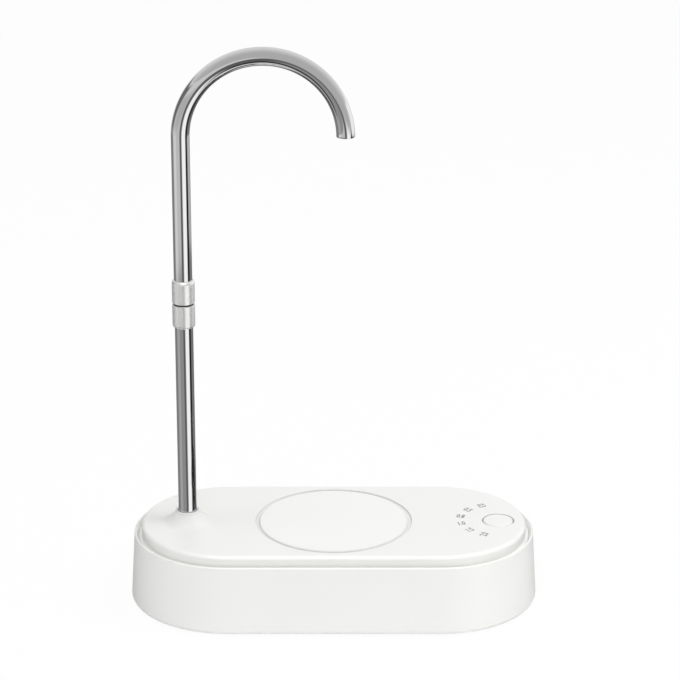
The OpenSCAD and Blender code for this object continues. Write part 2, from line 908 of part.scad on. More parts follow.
// One half of the collar, from the seam outwards, with a sloped and rounded shoulder
module collar_half(inner) {
    length = collar_len / 2 - half_seam;
    rim = 0.3;
    steps = 6;
    rotate_extrude()
        polygon(concat(
            [[inner, 0], [collar_r - rim, 0], [collar_r, rim]],
            [for (i = [0 : steps]) let (a = 90 * i / steps)
                [tube_r + rim + (collar_r - tube_r - rim) * cos(a), length - collar_shoulder * (1 - sin(a))]],
            [[inner, length]]
        ));
}

module collar_lower() {
    color("lightgray")
        translate([spout_x, 0, collar_z - half_seam])
            mirror([0, 0, 1])
                collar_half(tube_r + fit_gap);
}

module collar_upper() {
    color("lightgray")
        translate([spout_x, 0, collar_z + half_seam])
            collar_half(tube_r + fit_gap);
}

// The washer that shows as the dark line of the seam
module collar_washer() {
    color("dimgray")
        translate([spout_x, 0, collar_z - half_seam])
            pipe(tube_r + (collar_r - tube_r) / 2, core_r + fit_gap, collar_seam);
}

module collar_core() {
    color("gray")
        translate([spout_x, 0, 0])
            difference() {
                translate([0, 0, collar_z - core_reach])
                    pipe(core_r, core_bore_r, 2 * core_reach);
                for (z = CORE_OR_Z)
                    translate([0, 0, z - core_oring_r - fit_gap])
                        pipe(core_r + eps, core_r - 2 * core_oring_r - fit_gap, 2 * (core_oring_r + fit_gap));
            }
}

module collar_orings() {
    color("black")
        for (z = CORE_OR_Z)
            translate([spout_x, 0, z])
                oring(core_oring_r, core_r - core_oring_r);
}

module upper_tube() {
    foot = collar_z + half_seam;
    color("silver") {
        translate([spout_x, 0, foot])
            pipe(tube_r, bore_r, arch_z - foot);
        translate([spout_x + arch_r, 0, arch_z])
            rotate([90, 0, 0])
                rotate_extrude(angle = 180)
                    translate([arch_r, 0])
                        difference() {
                            circle(r = tube_r);
                            circle(r = bore_r);
                        }
    }
}

// Button
module button_cap() {
    color("white")
        translate([button_x, 0, 0]) {
            difference() {
                union() {
                    rotate_extrude()
                        polygon(concat(
                            [[0, flange_top - flange_h], [button_r, flange_top - flange_h]],
                            arc(button_r - button_edge, button_top - button_edge, button_edge, 0, 90, 5),
                            [[0, button_top]]
                        ));
                    translate([0, 0, flange_top - flange_h])
                        cylinder(r = button_flange_r, h = flange_h);
                }
                translate([0, 0, flange_top - flange_h - eps])
                    cylinder(r = button_r - cap_wall, h = spring_top - flange_top + flange_h + eps);
            }
            translate([0, 0, plunger_top])
                cylinder(r = stem_r, h = spring_top - plunger_top + eps);
        }
}

module button_housing() {
    color("gainsboro") difference() {
        union() {
            translate([button_x, 0, housing_z])
                cylinder(r = housing_r, h = plate_z - housing_z);
            for (s = [-1, 1])
                translate([button_x, s * ear_ring_r, plate_z - ear_drop - ear_t])
                    cylinder(r = ear_r, h = ear_t);
        }
        translate([button_x, 0, spring_seat])
            cylinder(r = housing_bore_r, h = plate_z);
        translate([button_x, 0, housing_z - eps])
            cylinder(r = stem_r + fit_gap, h = housing_floor_t + 2 * eps);
        ear_places()
            translate([0, 0, -ear_t - eps])
                cylinder(r = small_hole_r, h = ear_t + eps);
        ear_places()
            cylinder(r = ear_r + fit_gap, h = ear_drop + eps);
    }
}

module button_spring() {
    wire_r = spring_wire / 2;
    rise = spring_top - spring_seat - 2 * wire_r - 2 * fit_gap;
    rings = 16;
    steps = spring_turns * rings;
    coil = [for (i = [0 : steps]) let (a = 360 * i / rings)
        [button_x + spring_d / 2 * cos(a), spring_d / 2 * sin(a),
            spring_seat + fit_gap + wire_r + rise * i / steps]];
    color("silver")
        sweep(coil, wire_r, unit(coil[1] - coil[0]), unit(coil[steps] - coil[steps - 1]), [0, 0, 1], 6);
}

module tact_switch() {
    color("black") difference() {
        translate([button_x - switch_w / 2, -switch_w / 2, board_top])
            cube([switch_w, switch_w, switch_h]);
        translate([button_x, 0, board_top + switch_floor])
            cylinder(r = plunger_r + fit_gap, h = switch_h);
    }
}

module switch_plunger() {
    color("gray")
        translate([button_x, 0, plunger_foot])
            cylinder(r = plunger_r, h = plunger_top - plunger_foot);
}

// A clear bar under the cover, with one pin for each mark
module light_guide() {
    span = (pin_count - 1) * pin_step + 2 * guide_end_angle;
    foot = board_top + led_h + led_gap;
    color("aliceblue") {
        translate([button_x, 0, plate_z - guide_bar_h])
            rotate(180 - span / 2)
                rotate_extrude(angle = span)
                    translate([pin_ring_r - guide_bar_w / 2, 0])
                        square([guide_bar_w, guide_bar_h]);
        for (a = PIN_ANGLES)
            translate([button_x + pin_ring_r * cos(a), pin_ring_r * sin(a), foot])
                cylinder(r = pin_r, h = top_z - foot);
    }
}

module indicator_leds() {
    color("lightyellow")
        for (a = PIN_ANGLES)
            translate([button_x + pin_ring_r * cos(a) - pin_r, pin_ring_r * sin(a) - pin_r / 2, board_top])
                cube([pin_d, pin_r, led_h]);
}

module control_board() {
    color("seagreen") difference() {
        translate([board_x0, -control_w / 2, board_under])
            cube([control_len, control_w, board_t]);
        for (p = BOARD_BOSSES)
            translate([p.x, p.y, board_under - eps])
                cylinder(r = small_hole_r, h = board_t + 2 * eps);
    }
}

// Battery and charging
module battery_cell() {
    color("royalblue")
        along_x([-cell_len / 2, cell_y, cell_z])
            cylinder(r = cell_r, h = cell_len);
}

module battery_tabs() {
    color("silver")
        for (x = [-cell_len / 2 - tab_t, cell_len / 2])
            translate([x, cell_y - cell_r / 2, cell_z - tab_w / 2])
                cube([tab_t, cell_r, tab_w]);
}

module battery_straps() {
    color("dimgray")
        for (s = [-1, 1])
            strap(s * cell_rib_x, cell_y, cell_z, cell_r);
}

module motor_strap() {
    color("dimgray")
        strap(motor_rib_x, pump_y, pump_z, can_r);
}

module charge_board() {
    color("seagreen") difference() {
        translate([usb_x - charge_w / 2, charge_back_y - charge_len, charge_z])
            cube([charge_w, charge_len, board_t]);
        for (p = CHARGE_POSTS)
            translate([p.x, p.y, charge_z - eps])
                cylinder(r = small_hole_r, h = board_t + 2 * eps);
    }
}

// The charging socket's outline with cut corners, grown by g
module usb_outline(g) {
    w = usb_w / 2 + g;
    h = usb_h / 2 + g;
    c = usb_corner;
    polygon([
        [c - w, -h], [w - c, -h], [w, c - h], [w, h - c],
        [w - c, h], [c - w, h], [-w, h - c], [-w, c - h]
    ]);
}

module usb_socket() {
    y0 = usb_y1 - usb_len;
    color("silver")
        difference() {
            translate([usb_x, y0, usb_z])
                rotate([-90, 0, 0])
                    linear_extrude(usb_len)
                        usb_outline(0);
            translate([usb_x, y0 + usb_back, usb_z])
                rotate([-90, 0, 0])
                    linear_extrude(usb_len)
                        usb_outline(-usb_skin);
        }
    color("black")
        translate([usb_x - usb_tongue.x / 2, y0 + usb_back - eps, usb_z - usb_tongue.z / 2])
            cube(usb_tongue);
}

module lead_plugs() {
    color("ivory") {
        for (p = [motor_plug, panel_plug])
            translate([p.x - plug_size.x / 2, p.y - plug_size.y / 2, board_under - plug_size.z])
                cube(plug_size);
        for (p = [charge_plug, cell_plug])
            translate([p.x - plug_size.y / 2, p.y - plug_size.x / 2, charge_top])
                cube([plug_size.y, plug_size.x, plug_size.z]);
    }
}

// Lead from the motor's terminals up into the control board's plug
module motor_leads() {
    top = board_under - plug_size.z;
    route = [
        [motor_end_x, pump_y, pump_z],
        [motor_end_x + 5, pump_y, pump_z],
        [motor_end_x + 15, 22, 18],
        [board_x0 - 4, 12, 15],
        [motor_plug.x, motor_plug.y, top - 5],
        [motor_plug.x, motor_plug.y, top]
    ];
    color("firebrick")
        sweep(spline(route, 4), lead_r, [1, 0, 0], [0, 0, 1], [1, 9, 0]);
}

// Lead from the charge board up into the control board's other plug
module panel_leads() {
    top = board_under - plug_size.z;
    foot = charge_top + plug_size.z;
    route = [
        [charge_plug.x, charge_plug.y, foot],
        [charge_plug.x, charge_plug.y, foot + 6],
        [usb_x + 1, 28, 26],
        [usb_x + 3, 12, 24],
        [board_x0 - 6, -4, 14],
        [panel_plug.x, panel_plug.y, top - 6],
        [panel_plug.x, panel_plug.y, top]
    ];
    color("gray")
        sweep(spline(route, 4), lead_r, [0, 0, 1], [0, 0, 1], [9, 5, 1]);
}

// Lead from the cell's tab to the charge board
module battery_leads() {
    foot = charge_top + plug_size.z;
    route = [
        [cell_len / 2 + tab_t, cell_y, cell_z],
        [cell_len / 2 + tab_t + 5, cell_y, cell_z],
        [usb_x + 1, -18, 16],
        [usb_x + 7, 0, 22],
        [usb_x + 8, 24, 25],
        [cell_plug.x, cell_plug.y, foot + 6],
        [cell_plug.x, cell_plug.y, foot]
    ];
    color("firebrick")
        sweep(spline(route, 4), lead_r, [1, 0, 0], [0, 0, -1], [9, -1, 3]);
}

// Motor
module motor_can() {
    color("darkgray")
        pump_at(can_x)
            difference() {
                cylinder(r = can_r, h = can_len);
                translate([0, 0, can_wall])
                    cylinder(r = can_r - can_wall, h = can_len);
                translate([0, 0, -eps])
                    cylinder(r = bush_r + fit_gap, h = can_wall + 2 * eps);
            }
}

module motor_magnets() {
    color("dimgray")
        pump_at(can_x + magnet_in)
            for (a = [0, 180])
                rotate(a - magnet_angle / 2)
                    rotate_extrude(angle = magnet_angle)
                        translate([can_r - can_wall - fit_gap - magnet_t, 0])
                            square([magnet_t, can_len - magnet_short]);
}

module motor_end_cap() {
    color("ivory")
        difference() {
            union() {
                pump_at(can_end)
                    cylinder(r = can_r, h = cap_end_t);
                pump_at(can_end - cap_spigot)
                    cylinder(r = can_r - can_wall - fit_gap, h = cap_spigot + eps);
                translate([can_end, pump_y - terminal_w / 2, pump_z - terminal_w / 2])
                    cube([cap_end_t + terminal_len, terminal_w, terminal_w]);
            }
            pump_at(can_end - cap_spigot - eps)
                cylinder(r = bush_r + fit_gap, h = bush_len + eps);
        }
}

module motor_bushes() {
    color("peru") {
        pump_at(can_x - back_t / 2)
            pipe(bush_r, shaft_r + run_gap, bush_len);
        pump_at(can_end - cap_spigot)
            pipe(bush_r, shaft_r + run_gap, bush_len - move_gap);
    }
}

module motor_shaft() {
    color("silver")
        pump_at(shaft_x0)
            cylinder(r = shaft_r, h = can_end + shaft_past - shaft_x0);
}

module motor_armature() {
    core_len = can_len - armature_short;
    color("sienna")
        pump_at(can_x + armature_in) {
            pipe(can_r - can_wall - armature_gap, shaft_r + fit_gap, core_len);
            translate([0, 0, core_len - eps])
                pipe(commutator_r, shaft_r + fit_gap, commutator_len);
        }
}

// Pump
module pump_screw_places(x) {
    pump_at(x)
        for (a = PUMP_SCREW_ANGLES)
            rotate(a)
                translate([pump_screw_ring, 0, 0])
                    children();
}

module pump_housing() {
    color("dimgray") difference() {
        pump_at(room_x)
            cylinder(r = pump_r, h = room_depth + back_t + sleeve_len);
        pump_at(room_x - eps)
            cylinder(r = room_r, h = room_depth + eps);
        pump_at(back_x - eps)
            cylinder(r = bush_r + fit_gap, h = back_t + 2 * eps);
        pump_at(can_x)
            cylinder(r = can_r + fit_gap, h = sleeve_len + eps);
        pump_screw_places(room_x - eps)
            cylinder(r = pump_screw_r + fit_gap, h = pump_screw_bite + 2 * eps);
    }
}

module eccentric_wheel() {
    color("ivory") difference() {
        pump_at(wheel_x0)
            cylinder(r = wheel_r, h = wheel_x1 - wheel_x0);
        pump_at(shaft_x0 - fit_gap)
            cylinder(r = shaft_r + fit_gap, h = wheel_x1 - shaft_x0 + eps);
        crank_frame()
            cylinder(r = crank_r + fit_gap, h = crank_end + fit_gap);
    }
}

module crank_pin() {
    color("silver")
        crank_frame()
            translate([0, 0, pin_tip])
                cylinder(r = crank_r, h = crank_end - pin_tip);
}

// The three-armed rocker, free to turn on the crank pin
module rocker() {
    color("khaki")
        crank_frame()
            difference() {
                union() {
                    cylinder(r = hub_r, h = hub_end);
                    translate([0, 0, arm_t0])
                        for (a = CUP_ANGLES)
                            rotate(a) {
                                translate([arm_ring_r, 0, 0])
                                    cylinder(r = arm_r, h = arm_t1 - arm_t0);
                                translate([0, -hub_r / 2, 0])
                                    cube([arm_ring_r, hub_r, arm_t1 - arm_t0]);
                            }
                    translate([0, 0, arm_t0])
                        cylinder(r = hub_r + hub_step, h = arm_t1 - arm_t0);
                }
                translate([0, 0, pin_tip - fit_gap])
                    cylinder(r = crank_r + run_gap, h = hub_end);
                for (a = CUP_ANGLES)
                    rotate(a)
                        translate([arm_ring_r, 0, arm_t0 - eps])
                            cylinder(r = arm_hole_r, h = arm_t1 - arm_t0 + 2 * eps);
            }
}

// Rubber sheet with three cups, each with a stem through one of the rocker's arms
module diaphragm() {
    stem_end = nod_x + cup_stem_past;
    color("black") difference() {
        union() {
            pump_at(flange_x)
                cylinder(r = pump_r, h = flange_t);
            pump_at(flange_x)
                for (a = CUP_ANGLES)
                    rotate(a)
                        translate([arm_ring_r, 0, 0]) {
                            cylinder(r = cup_r, h = flange_t + cup_h);
                            cylinder(r = cup_stem_r, h = stem_end - flange_x);
                        }
        }
        pump_at(flange_x - eps)
            for (a = CUP_ANGLES)
                rotate(a)
                    translate([arm_ring_r, 0, 0])
                        cylinder(r = cup_r - cup_skin, h = flange_t + cup_h - cup_skin + eps);
        pump_screw_places(flange_x - eps)
            cylinder(r = pump_screw_r + fit_gap, h = flange_t + 2 * eps);
    }
}

// The plate's outlet valves sit on its head side, and the inlet flap in a shallow recess on the other side
module valve_places(x) {
    pump_at(x)
        for (a = CUP_ANGLES)
            rotate(a)
                translate([valve_ring_r, 0, 0])
                    children();
}

module valve_plate() {
    color("gainsboro") difference() {
        pump_at(valve_x)
            cylinder(r = pump_r, h = valve_t);
        pump_at(flange_x - flap_t - fit_gap)
            cylinder(r = flap_r + fit_gap, h = flap_t + fit_gap + eps);
        pump_at(valve_x - eps)
            for (a = CUP_ANGLES)
                rotate(a)
                    translate([flap_hole_ring, 0, 0])
                        cylinder(r = port_r, h = valve_t);
        pump_at(valve_x - eps)
            cylinder(r = valve_stem_r + fit_gap, h = valve_t + 2 * eps);
        valve_places(valve_x - eps) {
            cylinder(r = valve_stem_r + fit_gap, h = valve_t + 2 * eps);
            for (b = [90, 180, 270])
                rotate(b)
                    translate([port_ring, 0, 0])
                        cylinder(r = port_r, h = valve_t + 2 * eps);
        }
        pump_screw_places(valve_x - eps)
            cylinder(r = pump_screw_r + fit_gap, h = valve_t + 2 * eps);
    }
}

module check_valves() {
    color("firebrick") {
        valve_places(valve_x) {
            translate([0, 0, -flap_t])
                cylinder(r = valve_cap_r, h = flap_t);
            translate([0, 0, -flap_t])
                cylinder(r = valve_stem_r, h = valve_t);
        }
        pump_at(flange_x - flap_t)
            cylinder(r = flap_r, h = flap_t);
        pump_at(valve_x + fit_gap)
            cylinder(r = valve_stem_r, h = valve_t - flap_t);
    }
}

module pump_head() {
    color("gainsboro") difference() {
        union() {
            pump_at(head_x)
                cylinder(r = pump_r, h = head_t);
            for (y = [in_y, out_y])
                along_x([head_x - barb_len, y, pump_z])
                    cylinder(r = barb_r, h = barb_len + eps);
        }
        pump_at(valve_x - chamber_depth)
            cylinder(r = in_chamber_r, h = chamber_depth + eps);
        pump_at(valve_x - chamber_depth)
            pipe(out_chamber[1], out_chamber[0], chamber_depth + eps);
        for (y = [in_y, out_y])
            along_x([head_x - barb_len - eps, y, pump_z])
                cylinder(r = barb_bore_r, h = barb_len + head_t - chamber_depth + 2 * eps);
        pump_screw_places(head_x - eps)
            cylinder(r = pump_screw_r + fit_gap, h = head_t + 2 * eps);
    }
}

module pump_screws() {
    color("silver")
        pump_screw_places(head_x)
            screw(pump_screw_r, room_x - head_x + pump_screw_bite, pump_head_r, pump_head_h);
}

// Water path
module inlet_fitting() {
    color("ivory") difference() {
        union() {
            along_y([inlet_x, elbow_end, pump_z])
                cylinder(r = elbow_r, h = seat_y - elbow_end);
            along_y([inlet_x, seat_y - fitting_flange_t, pump_z])
                cylinder(r = fitting_flange_r, h = fitting_flange_t);
            along_y([inlet_x, seat_y - eps, pump_z])
                cylinder(r = neck_r, h = pocket_back_t + eps);
            along_y([inlet_x, seat_y, pump_z])
                cylinder(r = nipple_r, h = nipple_end_y - seat_y);
            along_x([inlet_x, in_y, pump_z])
                cylinder(r = barb_r, h = elbow_r + barb_len);
        }
        along_y([inlet_x, in_y - barb_bore_r, pump_z])
            cylinder(r = nipple_bore_r, h = end_r);
        along_x([inlet_x, in_y, pump_z])
            cylinder(r = barb_bore_r, h = elbow_r + barb_len + eps);
        along_y([inlet_x, seat_y - 2 * seal_r, pump_z])
            pipe(seal_ring_r + seal_r + fit_gap, seal_ring_r - seal_r - fit_gap, 2 * seal_r + eps);
    }
}

module inlet_seal() {
    color("black")
        along_y([inlet_x, seat_y - seal_r, pump_z])
            oring(seal_r - fit_gap / 2, seal_ring_r);
}

module inlet_hose() {
    color("white")
        along_x([hose_in_x0, in_y, pump_z])
            pipe(hose_r, hose_in_r, hose_in_x1 - hose_in_x0);
}

// Two equal bends carry the hose across from the pump head's barb to the socket's
module outlet_hose() {
    plan = concat(
        [[hose_out_x0, 0]],
        arc(bend_x0, bend_r, bend_r, -90, bend_angle - 90),
        [for (p = arc(bend_x1, out_y - bend_r, bend_r, bend_angle + 90, 90))
            if (p.x > (bend_x0 + bend_x1) / 2 + eps) p],
        [[hose_out_x1, out_y]]
    );
    color("white")
        sweep([for (p = plan) [p.x, p.y, pump_z]], hose_r, [1, 0, 0], [1, 0, 0], [0, 0, 1], 12, hose_in_r);
}

module hose_clips() {
    inner = hose_r + fit_gap;
    color("silver")
        for (p = [
            [hose_in_x0 + clip_in, in_y], [hose_in_x1 - clip_w - clip_in, in_y],
            [hose_out_x0 + clip_in, 0], [hose_out_x1 - clip_w - clip_in, out_y]
        ])
            along_x([p.x, p.y, pump_z])
                pipe(inner + clip_t, inner, clip_w);
}

base_shell();
top_cover();
case_screws();
small_screws();
rubber_feet();
cup_disc();
disc_adhesive();
boss_ring();
spout_socket();
socket_orings();
lower_tube();
collar_lower();
collar_core();
collar_orings();
collar_washer();
collar_upper();
upper_tube();
button_cap();
button_housing();
button_spring();
tact_switch();
switch_plunger();
light_guide();
indicator_leds();
control_board();
battery_cell();
battery_tabs();
battery_straps();
charge_board();
usb_socket();
lead_plugs();
motor_leads();
battery_leads();
panel_leads();
motor_can();
motor_magnets();
motor_end_cap();
motor_bushes();
motor_armature();
motor_shaft();
motor_strap();
pump_housing();
eccentric_wheel();
crank_pin();
rocker();
diaphragm();
valve_plate();
check_valves();
pump_head();
pump_screws();
inlet_fitting();
inlet_seal();
inlet_hose();
outlet_hose();
hose_clips();
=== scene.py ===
# %% [markdown]
# # A table-top water jug pump
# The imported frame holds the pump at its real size: a stadium-shaped base, a lid, a cup disc, a
# button, and a spout in two lengths. This lesson dresses it. The mouldings and the tubes are worked
# out again as smooth surfaces in the same places, and every other solid keeps its shape and gets a
# finish. Lengths are metres, and MM turns a drawing's millimetres into them.

# %% Load the frame
import json
import math

import bmesh
import bpy
import numpy as np
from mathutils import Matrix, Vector


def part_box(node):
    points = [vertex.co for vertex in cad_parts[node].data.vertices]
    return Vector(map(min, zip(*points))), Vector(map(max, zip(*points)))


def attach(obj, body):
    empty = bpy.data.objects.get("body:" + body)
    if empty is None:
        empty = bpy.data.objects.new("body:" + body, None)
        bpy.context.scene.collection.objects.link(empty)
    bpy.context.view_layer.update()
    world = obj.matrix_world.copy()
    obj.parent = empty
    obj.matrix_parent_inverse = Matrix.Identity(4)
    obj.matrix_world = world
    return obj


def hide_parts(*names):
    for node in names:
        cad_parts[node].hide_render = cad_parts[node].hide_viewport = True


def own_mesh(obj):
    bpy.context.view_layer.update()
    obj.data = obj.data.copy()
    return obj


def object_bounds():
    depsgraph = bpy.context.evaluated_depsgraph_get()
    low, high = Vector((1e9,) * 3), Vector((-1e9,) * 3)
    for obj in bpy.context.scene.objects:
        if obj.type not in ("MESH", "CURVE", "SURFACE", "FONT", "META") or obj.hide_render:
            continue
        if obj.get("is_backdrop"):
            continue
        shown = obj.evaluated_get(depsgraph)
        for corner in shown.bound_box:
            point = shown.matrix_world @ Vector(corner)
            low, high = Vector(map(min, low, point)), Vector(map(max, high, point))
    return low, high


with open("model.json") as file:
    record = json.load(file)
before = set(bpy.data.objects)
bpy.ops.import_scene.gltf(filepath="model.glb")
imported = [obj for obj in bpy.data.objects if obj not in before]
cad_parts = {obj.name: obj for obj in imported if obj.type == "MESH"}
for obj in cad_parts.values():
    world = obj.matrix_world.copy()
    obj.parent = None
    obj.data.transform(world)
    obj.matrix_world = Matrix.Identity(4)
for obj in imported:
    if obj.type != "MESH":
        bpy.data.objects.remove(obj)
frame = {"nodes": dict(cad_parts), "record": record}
CAD_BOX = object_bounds()
MM = 0.001
print("nodes in the frame:", len(frame["nodes"]))

# %% [markdown]
# ## Places and sizes
# A node's box gives its width, its middle and its top, and most of the sizes below follow from those
# boxes, so a piece goes where the frame has it. Walls and small roundings don't show in a box, so
# they are written here once, as they are on the drawing.

# %% Measure the frame


def extent(node):
    """The lowest corner, the highest corner and the middle of a node's box."""
    low, high = (np.array(corner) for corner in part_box(node))
    return low, high, (low + high) / 2


shell_low, shell_high, _ = extent("base_shell")
cover_low, cover_high, _ = extent("top_cover")
disc_low, disc_high, _ = extent("cup_disc")
lower_low, lower_high, lower_mid = extent("lower_tube")
upper_low, upper_high, _ = extent("upper_tube")
collar_low, collar_high, _ = extent("collar_lower")
button_low, button_high, button_mid = extent("button_cap")

WALL = 2.2 * MM
DRAFT = 2.2 * MM
SKIRT_DEPTH = 3.5 * MM
TUBE_WALL = 0.7 * MM
PLAY = 0.05 * MM
GROOVE = 2.0 * MM
BUTTON_R = 8.3 * MM
END_R = (shell_high[1] - shell_low[1]) / 2
STRAIGHT = (shell_high[0] - shell_low[0]) / 2 - END_R
FOOT_GAP = shell_low[2]
RIM_Z = shell_high[2]
RIM_R = END_R - DRAFT
FLOOR_Z = FOOT_GAP + WALL
COVER_R = (cover_high[1] - cover_low[1]) / 2
TOP_Z = disc_high[2]
PLATE_Z = TOP_Z - WALL
SKIRT_Z = RIM_Z - SKIRT_DEPTH
DISC_R = (disc_high[0] - disc_low[0]) / 2 - GROOVE + PLAY
TUBE_R = (lower_high[0] - lower_low[0]) / 2
BORE_R = TUBE_R - TUBE_WALL
SPOUT_X = lower_mid[0]
ARCH_R = (upper_high[0] - upper_low[0]) / 2 - TUBE_R
ARCH_Z = upper_high[2] - ARCH_R - TUBE_R
BUTTON_X = button_mid[0]
BUTTON_TOP = button_high[2]
places = np.array([END_R, STRAIGHT, SPOUT_X, BUTTON_X]) / MM
print("end radius, straight, spout, button (mm):", np.round(places, 2))

# %% [markdown]
# ## Camera
# The photograph is a long-lens product shot, from the front and about twenty degrees above. Its
# focal length, height and distance were found from the round ends of the base, the disc's ellipse
# and the upright tube, so the outlines of the render fall on those of the photograph.

# %% Place the camera
IMAGE_SIZE = 680
FOCAL_PIXELS = 2892.26
SENSOR = 36.0
CAMERA_PLACE = np.array([3.48, -1477.98, 706.25]) * MM
LOOK_DOWN = math.radians(20.539)

lens = bpy.data.cameras.new("photo_camera")
lens.sensor_width = SENSOR
lens.lens = FOCAL_PIXELS * SENSOR / IMAGE_SIZE
camera = bpy.data.objects.new("photo_camera", lens)
camera.location = CAMERA_PLACE
camera.rotation_euler = (math.pi / 2 - LOOK_DOWN, 0, 0)
bpy.context.scene.collection.objects.link(camera)
bpy.context.scene.camera = camera
print("lens (mm):", round(lens.lens, 2))

# %% [markdown]
# ## Helpers for surfaces
# Every smooth piece here is a grid of points: a profile carried round something. The rows of the
# grid follow the profile and its columns go round, so one function can turn any grid into faces.
# A profile that closes on itself makes a ring, and one that doesn't is closed by a flat face at each
# end. Doubled points are merged, the faces are turned outwards, and only real corners stay sharp.

# %% Grids, profiles and pieces
CORNER = math.radians(32)
SAME_POINT = 1e-7
NO_LENGTH = 1e-8


def arc(x, z, radius, start, end, steps=10):
    """Points on a circle about (x, z): the radius times cosine and sine of even steps of angle."""
    angle = np.radians(np.linspace(start, end, steps + 1))
    return np.column_stack([x + radius * np.cos(angle), z + radius * np.sin(angle)])


def revolve(profile, centre, sides=96, axis="z"):
    """A profile of (radius, height) turned about an upright axis through centre: x and y are the
    radius times cosine and sine of the turn. With axis y or x, the height runs along that axis."""
    profile = np.asarray(profile, float)
    turn = np.linspace(0, 2 * np.pi, sides, endpoint=False)
    across = profile[:, :1] * np.cos(turn)
    over = profile[:, :1] * np.sin(turn)
    along = np.repeat(profile[:, 1:], sides, axis=1)
    order = {"z": (across, over, along), "y": (across, along, over), "x": (along, across, over)}
    return np.stack(order[axis], axis=-1) + np.asarray(centre)


def racetrack(profile, steps=64):
    """A profile of (distance, height) carried round the base's plan: a half turn about each end's
    centre, so that x is the centre plus distance times cosine, and y is distance times sine."""
    profile = np.asarray(profile, float)
    half = np.linspace(-np.pi / 2, np.pi / 2, steps + 1)
    turn = np.concatenate([half, half + np.pi])
    centre = np.repeat([STRAIGHT, -STRAIGHT], steps + 1)
    x = centre + profile[:, :1] * np.cos(turn)
    y = profile[:, :1] * np.sin(turn)
    z = np.repeat(profile[:, 1:], len(turn), axis=1)
    return np.stack([x, y, z], axis=-1)


def surface(grid, ring=False):
    """The points and faces of a grid whose columns go round. Neighbouring rows are joined by quads.
    A ring joins its last row to its first, and any other grid gets a flat face at each end."""
    rows, columns = grid.shape[:2]
    index = np.arange(rows * columns).reshape(rows, columns)
    low = index if ring else index[:-1]
    high = np.roll(index, -1, axis=0) if ring else index[1:]
    quads = np.stack([low, np.roll(low, -1, axis=1), np.roll(high, -1, axis=1), high], axis=-1)
    ends = [] if ring else [index[0].tolist(), index[-1].tolist()]
    return grid.reshape(-1, 3), quads.reshape(-1, 4).tolist() + ends


def settle(mesh):
    """Merges doubled points, turns the faces outwards, and keeps only real corners sharp."""
    work = bmesh.new()
    work.from_mesh(mesh)
    bmesh.ops.remove_doubles(work, verts=work.verts, dist=SAME_POINT)
    bmesh.ops.dissolve_degenerate(work, edges=work.edges, dist=NO_LENGTH)
    bmesh.ops.recalc_face_normals(work, faces=work.faces)
    work.to_mesh(mesh)
    work.free()
    mesh.shade_smooth()
    mesh.set_sharp_from_angle(angle=CORNER)


def solid(name, *surfaces):
    """One object from several closed surfaces, with its place in its mesh."""
    points, faces, count = [], [], 0
    for place, corners in surfaces:
        points.append(place)
        faces += [[count + corner for corner in face] for face in corners]
        count += len(place)
    mesh = bpy.data.meshes.new(name)
    mesh.from_pydata(np.vstack(points).tolist(), [], faces)
    settle(mesh)
    made = bpy.data.objects.new(name, mesh)
    bpy.context.scene.collection.objects.link(made)
    return made


def carve(target, operation, tools):
    """Adds or takes away each tool's solid, one after another, and keeps the resulting mesh."""
    for tool in tools:
        step = target.modifiers.new(tool.name, "BOOLEAN")
        step.object = tool
        step.operation = operation
        step.solver = "EXACT"
    graph = bpy.context.evaluated_depsgraph_get()
    result = bpy.data.meshes.new_from_object(target.evaluated_get(graph))
    target.modifiers.clear()
    target.data = result
    for tool in tools:
        bpy.data.objects.remove(tool)
    settle(result)


def dress(made, body, slot, finish, *nodes):
    """Gives a piece its finish and its body, hides the nodes it stands for, and keeps large flats flat."""
    made.data.materials.clear()
    made.data.materials.append(finish)
    flats = made.modifiers.new("flats stay flat", "WEIGHTED_NORMAL")
    flats.keep_sharp = True
    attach(made, body)
    if nodes:
        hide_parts(*nodes)
    print(made.name, "faces:", len(made.data.polygons))
    return made


def post(name, x, y, radius, low, high, sides=48):
    """An upright round bar, as a tool or a part of a moulding."""
    return solid(name, surface(revolve([[radius, low], [radius, high]], (x, y, 0), sides)))


# %% [markdown]
# ## Finishes
# A finish starts from what the piece is made of. One function adds a node with its settings and its
# links, and another turns the colours, written as sRGB hex, into the linear values that Blender
# mixes. Patterns are measured in millimetres on Object coordinates, which here are the frame's own.

# %% Material helpers
PATCH = 30 * MM
ROUGH_SPREAD = 0.1


def linear(code):
    """An sRGB hex colour as linear red, green, blue and one: a power curve with a short straight toe."""
    value = np.array([int(code[i : i + 2], 16) for i in (0, 2, 4)]) / 255
    toe, curve = value / 12.92, ((value + 0.055) / 1.055) ** 2.4
    return (*np.where(value <= 0.04045, toe, curve).tolist(), 1.0)


def add(tree, kind, inputs=None, **settings):
    """Adds a node, sets its properties, and sets or links its inputs."""
    made = tree.nodes.new(kind)
    for key, value in settings.items():
        setattr(made, key, value)
    for key, value in (inputs or {}).items():
        if isinstance(value, bpy.types.NodeSocket):
            tree.links.new(value, made.inputs[key])
        else:
            made.inputs[key].default_value = value
    return made


